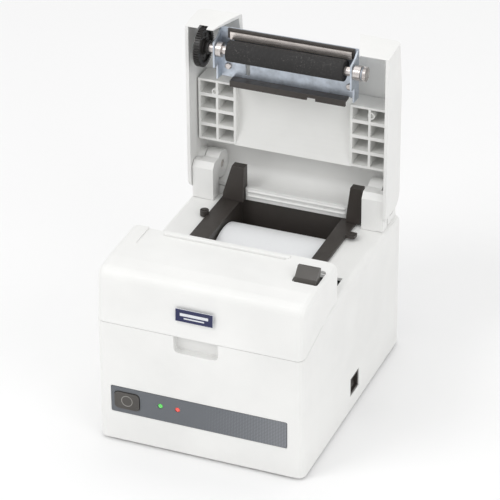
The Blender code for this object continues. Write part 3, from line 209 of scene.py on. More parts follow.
white = moulded("case_white", (0.84, 0.84, 0.825), 0.46)
cover_white = moulded("cover_white", (0.85, 0.85, 0.835), 0.42)
liner_white = moulded("liner_white", (0.83, 0.83, 0.81), 0.50, grain=0.0007)
black = moulded("bay_black", (0.040, 0.034, 0.030), 0.40, depth=0.00004, drift=0.18, wear=0.07)
lever_black = moulded("lever_black", (0.072, 0.066, 0.060), 0.38, drift=0.15, wear=0.08)
key_mark = moulded("key_mark", (0.30, 0.29, 0.27), 0.4)
gear_black = moulded("gear_black", (0.022, 0.020, 0.019), 0.34, grain=0.0009, drift=0.2, wear=0.05)
print("plastics:", [each.name for each in bpy.data.materials if "_" in each.name][:8])

# %% [markdown]
# ## Rubber, paper and card
#
# The platen is ground rubber: matt, nearly black, with fine rings left by the grinding wheel and pale
# paper dust. The feet share it. Thermal paper is smooth and a little blue on its coated side; the ends
# of a roll show its turns as fine rings, drawn here from the distance to the roll's axis.


# %% Rubber, paper and card
def ground_rubber(name):
    made = Finish(name, (0.028, 0.027, 0.027), 0.72, Specular_IOR_Level=0.35)
    rings = made.noise(1.0, 3.0, made.stretched((2600.0, 260.0, 260.0)))
    speckle = made.noise(1500.0, 2.0)
    dust = made.between(speckle, 0.60, 0.72) * made.between(made.noise(60.0, 3.0), 0.42, 0.62)
    made.feed("Base Color", made.mix(dust * 0.55, tone(made.colour, 1.0), (0.25, 0.24, 0.23, 1)))
    made.feed("Roughness", made.between(rings, 0.3, 0.7, 0.6, 0.85))
    made.bump(rings + speckle * 0.8, 0.00006, 0.7)
    return made.material


def wound_paper(name, centre, tint, turn=0.00032):
    """Paper on a roll: smooth round the outside, with its turns showing as rings at each end."""
    made = Finish(name, tint, 0.55)
    deep, high = made.axes()[1:]
    dy, dz = deep - centre[0], high - centre[1]
    radius = (dy * dy + dz * dz).math("SQRT")
    fibre = made.noise(900.0, 3.0)
    turns = (radius / turn + made.noise(40.0, 2.0) * 2).math("SINE")
    facing = made.node("ShaderNodeSeparateXYZ", {}, [made.node("ShaderNodeNewGeometry", output="Normal")])
    at_end = facing.math("ABSOLUTE") > 0.7
    dark = made.between(turns, -1, 1) * at_end * 0.30 + made.between(fibre, 0.3, 0.7) * 0.05
    made.feed("Base Color", made.mix(dark, made.colour, tone(made.colour, 0.62)))
    made.feed("Roughness", made.between(fibre, 0.3, 0.7, 0.48, 0.62))
    made.bump(turns * at_end + fibre * 0.3, 0.00004, 0.6)
    return made.material


rubber = ground_rubber("platen_rubber")
foot_rubber = ground_rubber("foot_rubber")
low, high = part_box("paper_roll")
roll_centre = (low + high) / 2
paper = wound_paper("thermal_paper", (roll_centre.y, roll_centre.z), (0.86, 0.87, 0.88))
card = wound_paper("core_card", (roll_centre.y, roll_centre.z), (0.42, 0.31, 0.20), 0.0006)
print("roll centre", [round(part * 1000, 1) for part in roll_centre])

# %% [markdown]
# ## Metals
#
# Three metals show. The bracket and chassis are zinc-plated sheet, bluish with cloudy crystals and
# rolling lines. Shafts and pins are turned, so their marks run round them, at right angles to the axis.
# The blade is ground along its length and kept bright.


# %% Metals
def zinc_plate(name, colour, along=(900.0, 60.0, 60.0)):
    made = Finish(name, colour, 0.38, 0.85)
    rolling = made.noise(1.0, 4.0, made.stretched(along))
    cloud = made.noise(120.0, 4.0)
    crystal = made.node("ShaderNodeTexVoronoi", {"feature": "F1"},
                        {"Vector": made.place(), "Scale": 420.0}, output="Distance")
    patch = made.between(cloud, 0.4, 0.62) * 0.7 + made.between(crystal, 0.0, 0.7) * 0.3
    body = made.mix(patch, tone(made.colour, 0.82), tone(made.colour, 1.18))
    made.feed("Base Color", made.mix(made.edges(0.0004) * 0.5, body, (0.8, 0.82, 0.85, 1)))
    made.feed("Roughness", made.between(rolling, 0.3, 0.7, 0.28, 0.50))
    made.bump(rolling * 0.6 + crystal * 0.2, 0.00002, 0.5)
    return made.material


def ground_steel(name, colour, roughness, along):
    made = Finish(name, colour, roughness, 1.0)
    marks = made.noise(1.0, 5.0, made.stretched(along))
    stain = made.noise(140.0, 4.0)
    made.feed("Base Color", made.mix(made.between(stain, 0.45, 0.7) * 0.35, tone(made.colour, 1.0),
                                     tone(made.colour, 0.72)))
    made.feed("Roughness", made.between(marks, 0.3, 0.7, roughness - 0.08, roughness + 0.12))
    made.bump(marks, 0.00001, 0.5)
    return made.material


zinc = zinc_plate("zinc_plate", (0.56, 0.61, 0.68))
zinc_inside = zinc_plate("chassis_zinc", (0.50, 0.53, 0.56), (60.0, 60.0, 900.0))
turned = ground_steel("turned_steel", (0.66, 0.62, 0.60), 0.28, (5000.0, 90.0, 90.0))
blade_steel = ground_steel("blade_steel", (0.86, 0.80, 0.76), 0.30, (40.0, 2400.0, 2400.0))
head_ceramic = moulded("head_ceramic", (0.75, 0.73, 0.66), 0.2, drift=0.05)
print("metals ready")

# %% [markdown]
# ## Printed panel, board, lamps and badge
#
# The grey panel is a printed film: a flat grey on the left and, towards the right, a field of fine dots
# that grows denser. The dots are a grid of cells: in each, the distance to the middle is compared with a
# radius that depends on how far right the cell is. The circuit board's tracks come from a brick pattern.


# %% Panel, board, lamps and badge
low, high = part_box("control_strip")


def dotted_panel():
    made = Finish("panel_film", (0.125, 0.135, 0.15), 0.42)
    across, up = made.axes()[::2]
    pitch = 1.05 * MM
    cell_x = ((across / pitch).math("FRACT") - 0.5).math("ABSOLUTE")
    cell_z = ((up / pitch).math("FRACT") - 0.5).math("ABSOLUTE")
    reach = (cell_x * cell_x + cell_z * cell_z).math("SQRT")
    growth = made.between(across, low.x + 38 * MM, high.x - 6 * MM, 0.0, 0.40)
    dots = made.between(reach - growth, -0.05, 0.05, 1.0, 0.0) * (across > low.x + 40 * MM)
    film = made.mix(dots * 0.75, tone(made.colour, 1.0), (0.30, 0.31, 0.33, 1))
    made.feed("Base Color", film)
    fine = made.noise(2200.0, 2.0)
    made.feed("Roughness", made.between(made.noise(70.0), 0.35, 0.65, 0.36, 0.5))
    made.bump(fine, 0.00002, 0.4)
    return made.material


def circuit_board():
    made = Finish("circuit_board", (0.015, 0.10, 0.045), 0.3, Coat_Weight=0.4)
    tracks = made.node("ShaderNodeTexBrick", {"offset": 0.35}, {
        "Vector": made.stretched((260.0, 260.0, 260.0)), "Scale": 1.0, "Mortar Size": 0.05}, output="Fac")
    pads = made.node("ShaderNodeTexVoronoi", {"feature": "F1"},
                     {"Vector": made.place(), "Scale": 300.0}, output="Distance")
    body = made.mix(tracks * 0.6, tone(made.colour, 1.0), (0.05, 0.24, 0.10, 1))
    made.feed("Base Color", made.mix((pads < 0.16) * 0.8, body, (0.55, 0.52, 0.45, 1)))
    made.feed("Metallic", (pads < 0.16) * 0.8)
    made.bump(tracks, 0.00003, 0.6)
    return made.material


def lamp(name, colour, glow):
    made = Finish(name, colour, 0.18, Coat_Weight=0.6, Emission_Strength=glow)
    speck = made.noise(1400.0, 2.0)
    made.feed("Base Color", made.mix(made.between(speck, 0.4, 0.6), tone(colour, 0.8), tone(colour, 1.3)))
    made.feed("Emission Color", made.mix(made.between(speck, 0.3, 0.7), tone(colour, 0.9), tone(colour, 1.2)))
    made.feed("Roughness", made.between(speck, 0.3, 0.7, 0.12, 0.3))
    return made.material


panel_film = dotted_panel()
board_green = circuit_board()
green_lamp = lamp("green_lamp", (0.10, 0.55, 0.10), 0.35)
red_lamp = lamp("red_lamp", (0.75, 0.08, 0.06), 0.35)
badge_blue = moulded("badge_blue", (0.012, 0.016, 0.075), 0.25, drift=0.12, wear=0.08)
badge_silver = ground_steel("badge_silver", (0.80, 0.82, 0.86), 0.25, (60.0, 60.0, 3000.0))
print("panel from", round(low.x * 1000), "to", round(high.x * 1000), "mm")

# %% [markdown]
# ## Give every working part its finish
#
# Most working parts already have the right shape, so they only need a finish. Each family of parts is
# listed once with the material it is made of.

# %% Finishes for the working parts
FAMILIES = (
    (white, ("main_case", "rear_cradle", "bottom_tray", "hinge_tower_left", "hinge_tower_right",
             "lid_shell")),
    (cover_white, ("front_cover",)),
    (liner_white, ("lid_liner",)),
    (black, ("paper_bucket", "guide_post_left", "guide_post_right", "paper_guide", "blade_holder",
             "power_rocker", "switch_housing", "power_inlet", "drawer_socket", "lid_sensor_bar")),
    (gear_black, ("platen_gear", "idler_gear", "feed_motor")),
    (lever_black, ("cover_lever",)),
    (panel_film, ("control_strip",)),
    (rubber, ("platen_rubber",)),
    (foot_rubber, ("foot_front_left", "foot_front_right", "foot_rear_left", "foot_rear_right")),
    (zinc, ("platen_bracket", "rear_panel", "data_socket")),
    (zinc_inside, ("print_chassis", "cutter_frame", "cutter_motor", "head_heatsink", "latch_shaft")),
    (turned, ("platen_shaft", "hinge_pin_left", "hinge_pin_right", "motor_pinion", "cutter_pinion",
              "head_spring_left", "head_spring_right", "platen_bearing_left", "platen_bearing_right")),
    (blade_steel, ("fixed_blade", "moving_blade")),
    (head_ceramic, ("thermal_head",)),
    (paper, ("paper_roll",)),
    (card, ("roll_core",)),
    (board_green, ("main_board", "panel_board")),
    (green_lamp, ("power_lens",)),
    (red_lamp, ("error_lens",)),
    (badge_blue, ("name_plate",)),
    (lever_black, ("feed_button",)),
)
for material, names in FAMILIES:
    for name in names:
        skin = parts[name].data
        skin.materials.clear()
        skin.materials.append(material)
dressed = {name for material, names in FAMILIES for name in names}
print("still plain:", sorted(set(parts) - dressed))

# %% [markdown]
# ## Modelling by hand, in code
#
# The pieces below start as a cube or a cylinder and are shaped in edit mode. Three helpers do what a
# hand on the mouse would: add the starting shape, pick faces by where they are or which way they face,
# and finish the piece so that it moves with its body.


# %% Modelling helpers
def let_go():
    if bpy.context.object and bpy.context.object.mode != "OBJECT":
        bpy.ops.object.mode_set(mode="OBJECT")
    bpy.ops.object.select_all(action="DESELECT")


def settle():
    bpy.ops.object.transform_apply(location=True, rotation=True, scale=True)
    return bpy.context.object


def block(name, low_corner, high_corner):
    let_go()
    low_corner, high_corner = Vector(low_corner), Vector(high_corner)
    bpy.ops.mesh.primitive_cube_add(size=1, location=(low_corner + high_corner) / 2)
    bpy.context.object.name = name
    bpy.context.object.scale = high_corner - low_corner
    return settle()


def rod(name, start, end, radius, sides=48):
    let_go()
    start, end = Vector(start), Vector(end)
    bpy.ops.mesh.primitive_cylinder_add(vertices=sides, radius=radius, depth=(end - start).length,
                                        location=(start + end) / 2,
                                        rotation=(end - start).to_track_quat("Z", "Y").to_euler())
    bpy.context.object.name = name
    return settle()


def pick(piece, test):
    """Go into edit mode with only those faces selected for which test(middle, direction) holds."""
    if piece.mode != "EDIT":
        bpy.ops.object.mode_set(mode="EDIT")
    bpy.ops.mesh.select_mode(type="FACE")
    mesh = bmesh.from_edit_mesh(piece.data)
    for face in mesh.faces:
        face.select_set(test(face.calc_center_median(), face.normal))
    mesh.select_flush_mode()
    bmesh.update_edit_mesh(piece.data)
    return sum(face.select for face in mesh.faces)


def pick_edges(piece, test):
    """Go into edit mode with only those edges selected for which test(middle, direction) holds."""
    bpy.ops.object.mode_set(mode="EDIT")
    bpy.ops.mesh.select_mode(type="EDGE")
    bpy.ops.mesh.select_all(action="DESELECT")
    mesh = bmesh.from_edit_mesh(piece.data)
    for edge in mesh.edges:
        start, end = (corner.co for corner in edge.verts)
        edge.select_set(test((start + end) / 2, (end - start).normalized()))
    mesh.select_flush_mode()
    bmesh.update_edit_mesh(piece.data)


def soften(piece, width, segments=3, angle=35):
    """Round every edge sharper than the angle."""
    let_go()
    piece.select_set(True)
    bpy.context.view_layer.objects.active = piece
    change = piece.modifiers.new("soft_edges", "BEVEL")
    change.width = width
    change.segments = segments
    change.limit_method = "ANGLE"
    change.angle_limit = math.radians(angle)
    bpy.ops.object.modifier_apply(modifier=change.name)


def carve(piece, *tools, operation="DIFFERENCE"):
    for tool in tools:
        let_go()
        piece.select_set(True)
        bpy.context.view_layer.objects.active = piece
        change = piece.modifiers.new("carve", "BOOLEAN")
        change.operation = operation
        change.object = tool
        change.solver = "EXACT"
        bpy.ops.object.modifier_apply(modifier=change.name)
        bpy.data.objects.remove(tool, do_unlink=True)


def done(piece, material, body, slot, *replaced):
    let_go()
    piece.select_set(True)
    bpy.context.view_layer.objects.active = piece
    bpy.ops.object.shade_smooth_by_angle(angle=math.radians(35))
    piece.data.materials.clear()
    piece.data.materials.append(material)
    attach(piece, body)
    if replaced:
        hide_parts(*replaced)
    print(piece.name, len(piece.data.polygons), "faces")
    return piece


def copy_of(piece, name, shift, turn=None):
    """Another of the same piece, with a mesh of its own."""
    made = bpy.data.objects.new(name, piece.data.copy())
    bpy.context.scene.collection.objects.link(made)
    made.data.transform(Matrix.Translation(shift) @ (turn or Matrix.Identity(4)))
    return made


def middle_of(name):
    low_corner, high_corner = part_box(name)
    return (low_corner + high_corner) / 2


# %% [markdown]
# ## The platen's gear
#
# The black gear at the left end of the roller is an injection-moulded spur gear: a toothed rim, a thin
# web with lightening holes, and a thick hub. A cylinder with six faces to each tooth gives the rim; two
# of every six faces are pulled out to make a tooth, and the whole is turned so that its teeth fall
# between the idler's. The web is sunk by insetting the flat ends.

# %% Platen gear
low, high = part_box("platen_gear")
gear_middle = middle_of("platen_gear")
TEETH = 48
MODULE = 0.54 * MM
FACES_PER_TOOTH = 6
HOLE_CIRCLE = 8.3 * MM
HOLE_RADIUS = 1.5 * MM
SHAFT_CLEAR = 3.1 * MM
PAST = 2 * MM
root = TEETH * MODULE / 2 - 1.15 * MODULE
tip = TEETH * MODULE / 2 + 0.85 * MODULE
gear = rod("platen_drive_gear", (low.x, *gear_middle.yz), (high.x, *gear_middle.yz), root,
           TEETH * FACES_PER_TOOTH)
first_tooth = math.radians(-170)
first_corner = gear.data.vertices[0].co
corner_angle = math.atan2(first_corner.z - gear_middle.z, first_corner.y - gear_middle.y)
swing = (first_tooth - corner_angle) % (2 * math.pi / (TEETH * FACES_PER_TOOTH))
gear.data.transform(Matrix.Translation(gear_middle) @ Matrix.Rotation(swing, 4, "X")
                    @ Matrix.Translation(-gear_middle))


def on_tooth(middle, direction):
    if abs(direction.x) > 0.5:
        return False
    angle = math.atan2(middle.z - gear_middle.z, middle.y - gear_middle.y) - first_tooth
    share = angle / (2 * math.pi / TEETH) % 1
    return share < 0.16 or share > 0.84


print("tooth faces", pick(gear, on_tooth))
bpy.ops.mesh.extrude_region_shrink_fatten(TRANSFORM_OT_shrink_fatten={"value": tip - root})
for side in (-1, 1):
    pick(gear, lambda middle, direction, side=side: direction.x * side > 0.9
         and Vector((middle.y - gear_middle.y, middle.z - gear_middle.z)).length < 2 * MM)
    bpy.ops.mesh.inset(thickness=1.9 * MM)
    bpy.ops.mesh.inset(thickness=0.25 * MM, depth=-1.15 * MM)
    bpy.ops.mesh.inset(thickness=4.6 * MM)
    bpy.ops.mesh.inset(thickness=0.2 * MM, depth=1.3 * MM)
holes = []
for step in range(6):
    angle = step * math.pi / 3 + 0.3
    spot = (gear_middle.y + HOLE_CIRCLE * math.cos(angle), gear_middle.z + HOLE_CIRCLE * math.sin(angle))
    holes.append(rod(f"gear_hole_{step}", (low.x - PAST, *spot), (high.x + PAST, *spot), HOLE_RADIUS, 24))
shaft_hole = rod("gear_bore", (low.x - PAST, *gear_middle.yz), (high.x + PAST, *gear_middle.yz),
                 SHAFT_CLEAR, 48)
carve(gear, *holes, shaft_hole)
done(gear, gear_black, "platen", "black_plastic", "platen_gear")

# %% [markdown]
# ## Clip and collars on the roller's shaft
#
# A collar sits beside the gear on the left, and at the right end a clip and a knurled knob hold the
# shaft in its bearing. Every one is a short cylinder whose end faces are inset and pushed.

# %% Clip and collars
axis = (gear_middle.y, gear_middle.z)


def collar(name, start, end, radius, lip, material, slot, body, sides=48):
    made = rod(name, (start, *axis), (end, *axis), radius, sides)
    pick(made, lambda middle, direction: abs(direction.x) > 0.9)
    bpy.ops.mesh.inset(thickness=lip, use_individual=True)
    bpy.ops.mesh.inset(thickness=0.15 * MM, depth=0.3 * MM, use_individual=True)
    carve(made, rod(name + "_bore", (start - 5 * MM, *axis), (end + 5 * MM, *axis), 3.06 * MM, 48))
    soften(made, 0.12 * MM, 2)
    return done(made, material, body, slot)


low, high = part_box("platen_bearing_right")
collar("shaft_clip_right", high.x + 0.35 * MM, high.x + 0.95 * MM, 4.4 * MM, 0.5 * MM, zinc, "zinc_sheet",
       "platen")
low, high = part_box("platen_gear")
collar("gear_collar", high.x + 0.6 * MM, high.x + 2.6 * MM, 4.6 * MM, 0.6 * MM, gear_black, "black_plastic",
       "platen")

low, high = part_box("platen_shaft")
knob = rod("knurled_collar", (high.x - 2.2 * MM, *axis), (high.x, *axis), 4.6 * MM, 40)
print("knurls", pick(knob, lambda middle, direction: abs(direction.x) < 0.5))
bpy.ops.mesh.inset(thickness=0.1 * MM, depth=0.18 * MM, use_individual=True)
pick(knob, lambda middle, direction: direction.x > 0.9)
bpy.ops.mesh.inset(thickness=1.2 * MM)
bpy.ops.mesh.inset(thickness=0.2 * MM, depth=-0.5 * MM)
carve(knob, rod("knob_bore", (high.x - 5 * MM, *axis), (high.x - 0.9 * MM, *axis), 3.06 * MM, 48))
done(knob, turned, "platen", "bright_steel")

# %% [markdown]
# ## Screws
#
# Pan-head screws hold the bracket and the connector plate. One is modelled: a short cylinder,
# its rim rounded, its cross cut by two thin blocks. The others are copies, turned so that no two crosses
# line up.

# %% One screw, and its copies
HEAD_RADIUS = 2.3 * MM
HEAD_DEPTH = 1.5 * MM
CROSS_REACH = 1.3 * MM
CROSS_HALF = 0.25 * MM
SCREW_HEIGHT = 198.5 * MM
PANEL_INSET = 6 * MM
screw = rod("screw_pattern", (0, 0, 0), (0, -HEAD_DEPTH, 0), HEAD_RADIUS, 32)
pick(screw, lambda middle, direction: direction.y < -0.9)
bpy.ops.mesh.bevel(offset=0.7 * MM, segments=4)
slots = [block(f"cross_{across}_{up}", (-across, -0.9 * MM, -up), (across, -2 * MM, up))
         for across, up in ((CROSS_REACH, CROSS_HALF), (CROSS_HALF, CROSS_REACH))]
carve(screw, *slots)
rear_low, rear_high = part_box("rear_panel")
bracket_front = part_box("platen_bracket")[0].y
face_y = bracket_front + (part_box("blade_holder")[1].y - bracket_front) + 0.3 * MM
half_turn = Matrix.Rotation(math.pi, 4, "Z")
panel_y, panel_z = rear_high.y - 0.02 * MM, rear_high.z - PANEL_INSET
SCREWS = (
    ("bracket_screw_left", (-43.5 * MM, face_y, SCREW_HEIGHT), "lid", 20, False),
    ("bracket_screw_right", (40.5 * MM, face_y, SCREW_HEIGHT), "lid", 55, False),
    ("panel_screw_left", (rear_low.x + PANEL_INSET, panel_y, panel_z), "case", 10, True),
    ("panel_screw_right", (rear_high.x - PANEL_INSET, panel_y, panel_z), "case", 70, True),
)
for name, spot, body, turn, backwards in SCREWS:
    spin = (half_turn if backwards else Matrix.Identity(4)) @ Matrix.Rotation(math.radians(turn), 4, "Y")
    done(copy_of(screw, name, Vector(spot), spin), turned, body, "bright_steel")
bpy.data.objects.remove(screw, do_unlink=True)

# %% [markdown]
# ## Badge, feed key and lamps
#
# The badge is a plain enamelled plate with a bright rim and two raised bars. The feed key is a cushion
# of dark plastic with a shallow dish for the finger and a pale ring. The lamps are clear domes.

# %% Badge
low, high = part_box("name_plate")
lean = math.radians(3)
badge_middle = (low + high) / 2
half_width, half_height = (high.x - low.x) / 2, (high.z - low.z) / 2
place_badge = Matrix.Translation(badge_middle) @ Matrix.Rotation(-lean, 4, "X")
badge = block("front_badge", (-half_width, -0.4 * MM, -half_height), (half_width, 0.4 * MM, half_height))
pick(badge, lambda middle, direction: direction.y < -0.9)
bpy.ops.mesh.inset(thickness=0.6 * MM)
bpy.ops.mesh.inset(thickness=0.08 * MM, depth=-0.2 * MM)
soften(badge, 0.08 * MM, 2)
badge.data.transform(place_badge)
done(badge, badge_blue, "front_cover", "badge_blue", "name_plate")

rim = block("badge_rim", (-half_width - 0.3 * MM, -0.12 * MM, -half_height - 0.3 * MM),
            (half_width + 0.3 * MM, 0.3 * MM, half_height + 0.3 * MM))
soften(rim, 0.12 * MM, 2)
rim.data.transform(place_badge)
done(rim, badge_silver, "front_cover", "bright_steel")

BARS = (("badge_bar_upper", 0.76, -0.05, 0.42), ("badge_bar_lower", 0.55, -0.52, -0.30))
for name, reach, bottom, top in BARS:
    bar = block(name, (-reach * half_width, -0.36 * MM, bottom * half_height),
                (reach * half_width, -0.1 * MM, top * half_height))
    pick(bar, lambda middle, direction: direction.y < -0.9)
    bpy.ops.mesh.inset(thickness=0.12 * MM, depth=0.04 * MM)
    let_go()
    bar.data.transform(place_badge)
    done(bar, badge_silver, "front_cover", "bright_steel")

# %% Feed key
low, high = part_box("feed_button")
key_middle = (low + high) / 2
key = block("feed_key", low, high)
pick_edges(key, lambda middle, direction: abs(direction.y) > 0.9)
bpy.ops.mesh.bevel(offset=2.6 * MM, segments=6)
pick(key, lambda middle, direction: direction.y < -0.9)
bpy.ops.mesh.inset(thickness=0.4 * MM)
bpy.ops.mesh.inset(thickness=0.9 * MM, depth=-0.28 * MM)
bpy.ops.mesh.inset(thickness=0.9 * MM, depth=-0.10 * MM)
done(key, lever_black, "feed_button", "panel_plastic", "feed_button")
ring = rod("feed_key_ring", (key_middle.x, low.y + 0.5 * MM, key_middle.z),
           (key_middle.x, low.y + 0.2 * MM, key_middle.z), 3.9 * MM, 64)
carve(ring, rod("ring_hole", (key_middle.x, low.y - 1 * MM, key_middle.z),
                (key_middle.x, low.y + 2 * MM, key_middle.z), 3.45 * MM, 64))
done(ring, key_mark, "feed_button", "panel_plastic")

# %% Lamps
LAMPS = (("power_lens", green_lamp, "green_lens"), ("error_lens", red_lamp, "red_lens"))
for name, material, slot in LAMPS:
    low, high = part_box(name)
    centre = (low + high) / 2
    dome = rod(name.replace("lens", "lamp"), (centre.x, high.y, centre.z),
               (centre.x, low.y + 0.5 * MM, centre.z), (high.x - low.x) / 2, 32)
    pick(dome, lambda middle, direction: direction.y < -0.9)
    bpy.ops.mesh.inset(thickness=0.35 * MM, depth=0.28 * MM)
    bpy.ops.mesh.inset(thickness=0.45 * MM, depth=0.14 * MM)
    bpy.ops.mesh.inset(thickness=0.35 * MM, depth=0.06 * MM)
    done(dome, material, "case", slot, name)

# %% [markdown]
# ## Small mouldings on the case
#
# Between the posts a low white rail with two rounded ridges closes the back of the bay. A black catch
# stands beside the bay on the left. Along the rear edge of the front cover runs the raised lip that the
# paper tears against. Each foot starts as a disc whose underside is bevelled, then inset twice.

# %% Rail between the posts
left_post, right_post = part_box("guide_post_left"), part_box("guide_post_right")
rail_left, rail_right = left_post[1].x + 0.4 * MM, right_post[0].x - 0.4 * MM
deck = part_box("paper_bucket")[1].z
RAIL_FRONT = 66.0 * MM
RAIL_DEPTH = 3.6 * MM
RAIL_BOTTOM, RAIL_TOP = 0.2 * MM, 9.4 * MM
RIDGE_INSET = 1.5 * MM
RIDGE_RADIUS = 0.8 * MM
rail = block("bay_rail", (rail_left, RAIL_FRONT, deck + RAIL_BOTTOM),
             (rail_right, RAIL_FRONT + RAIL_DEPTH, deck + RAIL_TOP))
for share in (0.36, 0.74):
    height = deck + RAIL_BOTTOM + share * (RAIL_TOP - RAIL_BOTTOM)
    ridge = rod("rail_ridge", (rail_left + RIDGE_INSET, RAIL_FRONT, height),
                (rail_right - RIDGE_INSET, RAIL_FRONT, height), RIDGE_RADIUS, 20)
    carve(rail, ridge, operation="UNION")
soften(rail, 0.35 * MM, 3)
done(rail, white, "case", "white_plastic")

# %% Catch beside the bay
CATCH_SPOT = (-50 * MM, 39 * MM)
CATCH_BOTTOM, CATCH_TOP = 100.5 * MM, 104.6 * MM
catch = rod("bay_catch", (*CATCH_SPOT, CATCH_BOTTOM), (*CATCH_SPOT, CATCH_TOP), 3.0 * MM, 40)
pick(catch, lambda middle, direction: direction.z > 0.9)
bpy.ops.mesh.inset(thickness=0.5 * MM)
bpy.ops.mesh.inset(thickness=0.2 * MM, depth=-0.6 * MM)
bpy.ops.mesh.inset(thickness=0.7 * MM)
bpy.ops.mesh.inset(thickness=0.15 * MM, depth=1.2 * MM)
soften(catch, 0.25 * MM, 3)
done(catch, black, "case", "black_plastic")

# %% Paper lip on the cover
cover_rear, cover_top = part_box("front_cover")[1].yz
LIP_LEFT, LIP_RIGHT = -46 * MM, 40 * MM
LIP_RISE = 0.9 * MM
LIP_LEAN = 0.3 * MM
lip = block("tear_lip", (LIP_LEFT, cover_rear - 5.2 * MM, cover_top - 1.4 * MM),
            (LIP_RIGHT, cover_rear - 1.1 * MM, cover_top + LIP_RISE))
pick(lip, lambda middle, direction: direction.z > 0.9)
bpy.ops.transform.translate(value=(0, -LIP_LEAN, 0))
soften(lip, 0.8 * MM, 5)
done(lip, cover_white, "front_cover", "white_plastic")

# %% Feet
for name in ("foot_front_left", "foot_front_right", "foot_rear_left", "foot_rear_right"):
    low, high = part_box(name)
    centre = (low + high) / 2
    foot = rod(name.replace("foot", "pad"), (centre.x, centre.y, high.z), (centre.x, centre.y, low.z),
               (high.x - low.x) / 2, 48)
    pick(foot, lambda middle, direction: direction.z < -0.9)
    bpy.ops.mesh.bevel(offset=0.35 * MM, segments=3)
    pick(foot, lambda middle, direction: direction.z < -0.9)
    bpy.ops.mesh.inset(thickness=1.6 * MM)
    bpy.ops.mesh.inset(thickness=0.3 * MM, depth=-0.6 * MM)
    done(foot, foot_rubber, "case", "rubber", name)

# %% [markdown]
# ## Contacts in the sockets
#
# The round power inlet has three pins, the data socket a tongue with a chamfered nose, and the drawer
# socket six sprung wires that slope down into it.

# %% Socket contacts
low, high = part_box("power_inlet")
centre = (low + high) / 2
for step in range(3):
    angle = math.radians(90 + 120 * step)
    across, up = 2.6 * MM * math.cos(angle), 2.6 * MM * math.sin(angle)
    pin = rod(f"inlet_pin_{step}", (centre.x + across, high.y - 8.9 * MM, centre.z + up),
              (centre.x + across, high.y - 2.5 * MM, centre.z + up), 0.7 * MM, 24)
    pick(pin, lambda middle, direction: direction.y > 0.9)
    bpy.ops.mesh.bevel(offset=0.3 * MM, segments=3)
    done(pin, turned, "case", "bright_steel")
low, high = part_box("data_socket")
centre = (low + high) / 2
tongue = block("data_tongue", (centre.x - 3 * MM, high.y - 8.9 * MM, centre.z - 1.6 * MM),
               (centre.x + 3 * MM, high.y - 1.5 * MM, centre.z + 1.6 * MM))
pick(tongue, lambda middle, direction: direction.y > 0.9)
bpy.ops.mesh.bevel(offset=0.6 * MM, segments=2)
done(tongue, head_ceramic, "case", "head_ceramic")
low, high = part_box("drawer_socket")
centre = (low + high) / 2
for step in range(6):
    across = centre.x + (step - 2.5) * 1.5 * MM
    wire = rod(f"drawer_contact_{step}", (across, high.y - 8.8 * MM, centre.z - 3.6 * MM),
               (across, high.y - 3 * MM, centre.z + 2.6 * MM), 0.28 * MM, 16)
    pick(wire, lambda middle, direction: direction.y > 0.5)
    bpy.ops.mesh.inset(thickness=0.1 * MM, depth=0.1 * MM)
    done(wire, turned, "case", "bright_steel")

# %% [markdown]
# ## The liner's bosses
#
# Two round bosses, each with a blind hole, stand in the pockets of the lid's liner and take its screws.

# %% Bosses in the lid
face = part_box("lid_liner")[0].y
BOSS_REACH = 54.5 * MM
BOSSES = (("liner_boss_left", -BOSS_REACH, 176 * MM), ("liner_boss_right", BOSS_REACH, 178.5 * MM))
for name, across, up in BOSSES:
    boss = rod(name, (across, face + 4 * MM, up), (across, face + 0.1 * MM, up), 2.4 * MM, 36)
    pick(boss, lambda middle, direction: direction.y < -0.9)
    bpy.ops.mesh.inset(thickness=0.7 * MM)
    bpy.ops.mesh.inset(thickness=0.1 * MM, depth=-2.0 * MM)
    done(boss, liner_white, "lid", "white_plastic")

# %% [markdown]
# ## The roll of paper
#
# A fresh roll isn't a perfect cylinder: its winding shows as rings, its ends are slightly uneven, and its
# loose end stands off from the turn below. The loose end is a band of faces on the roll's skin, pulled
# out.

# %% Paper roll
low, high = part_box("paper_roll")
roll_radius = (high.z - low.z) / 2
SKIN = 0.25 * MM
BORE_RADIUS = 8.2 * MM
roll = rod("receipt_roll", (low.x, *roll_centre.yz), (high.x, *roll_centre.yz), roll_radius - SKIN, 180)
loose = math.radians(118)
pick(roll, lambda middle, direction: abs(direction.x) < 0.5
     and -0.35 < (math.atan2(direction.z, direction.y) - loose) < 0.0)
bpy.ops.mesh.extrude_region_shrink_fatten(TRANSFORM_OT_shrink_fatten={"value": 0.2 * MM})
for side in (-1, 1):
    pick(roll, lambda middle, direction, side=side: direction.x * side > 0.9
         and (middle - roll_centre).yz.length < 3 * MM)
    bpy.ops.mesh.inset(thickness=0.6 * MM)
    bpy.ops.mesh.inset(thickness=8 * MM, depth=-0.18 * MM)
    bpy.ops.mesh.inset(thickness=7 * MM, depth=0.12 * MM)
carve(roll, rod("roll_bore", (low.x - 5 * MM, *roll_centre.yz), (high.x + 5 * MM, *roll_centre.yz),
                BORE_RADIUS, 64))
done(roll, paper, "paper_roll", "paper", "paper_roll")

# %% [markdown]
# ## The studio
#
# A flat pale floor, a soft light high on the left, a weaker one on the right, another overhead, and a
# bright surround, so that white plastic reads as white while its edges keep a soft shade.

# %% Floor
let_go()
bpy.ops.mesh.primitive_plane_add(size=6, location=(0, 0, 0))
floor = bpy.context.object
floor.name = "studio_floor"
floor_finish = Finish("studio_paper", (0.93, 0.93, 0.93), 0.8)
floor_finish.feed("Base Color", floor_finish.mix(floor_finish.noise(3.0), (0.92, 0.92, 0.92, 1),
                                                 (0.945, 0.945, 0.945, 1)))
floor.data.materials.append(floor_finish.material)

# %% Lights
TARGET = Vector((0.0, 0.0, 0.1))


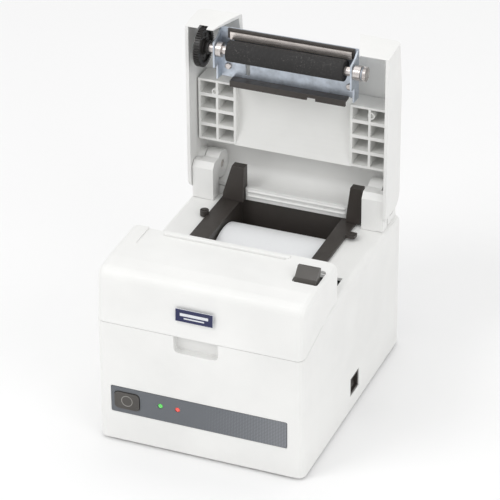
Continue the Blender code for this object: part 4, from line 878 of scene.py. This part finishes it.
def soft_light(name, place, size, power):
    lamp_data = bpy.data.lights.new(name, "AREA")
    lamp_data.shape = "RECTANGLE"
    lamp_data.size, lamp_data.size_y = size
    lamp_data.energy = power
    light = bpy.data.objects.new(name, lamp_data)
    bpy.context.scene.collection.objects.link(light)
    light.location = place
    light.rotation_euler = (TARGET - Vector(place)).to_track_quat("-Z", "Y").to_euler()
    return light


soft_light("key_light", (-0.9, -1.1, 1.5), (0.8, 0.8), 8.5)
soft_light("fill_light", (1.4, -0.8, 0.9), (1.0, 1.0), 4.5)
soft_light("top_light", (0.1, 0.3, 1.8), (1.4, 1.4), 5)
world = bpy.data.worlds.new("studio_surround")
world.use_nodes = True
world.node_tree.nodes["Background"].inputs["Color"].default_value = (1, 1, 1, 1)
world.node_tree.nodes["Background"].inputs["Strength"].default_value = 0.76
bpy.context.scene.world = world
bpy.context.scene.view_settings.view_transform = "Standard"

# %% [markdown]
# ## The camera
#
# A long lens from the front right, well above the counter: it looks into the open bay and still shows
# the front panel, the right side and the inside of the lid.

# %% Camera
CAMERA_PLACE = Vector((0.58867, -1.44381, 1.00743))
azimuth, elevation, bank = math.radians(22.241), math.radians(30.051), math.radians(-0.402)
back = Vector((math.sin(azimuth) * math.cos(elevation), -math.cos(azimuth) * math.cos(elevation),
               math.sin(elevation)))
level = Vector((0, 0, 1)).cross(back).normalized()
upright = back.cross(level)
turned_level = math.cos(bank) * level + math.sin(bank) * upright
turned_upright = back.cross(turned_level)
camera_data = bpy.data.cameras.new("camera")
camera_data.sensor_width = 36
camera_data.lens = 201.6
camera = bpy.data.objects.new("camera", camera_data)
bpy.context.scene.collection.objects.link(camera)
camera.matrix_world = Matrix((
    (turned_level.x, turned_upright.x, back.x, CAMERA_PLACE.x),
    (turned_level.y, turned_upright.y, back.y, CAMERA_PLACE.y),
    (turned_level.z, turned_upright.z, back.z, CAMERA_PLACE.z),
    (0, 0, 0, 1),
))
bpy.context.scene.camera = camera
print("camera", [round(part, 3) for part in camera.location])
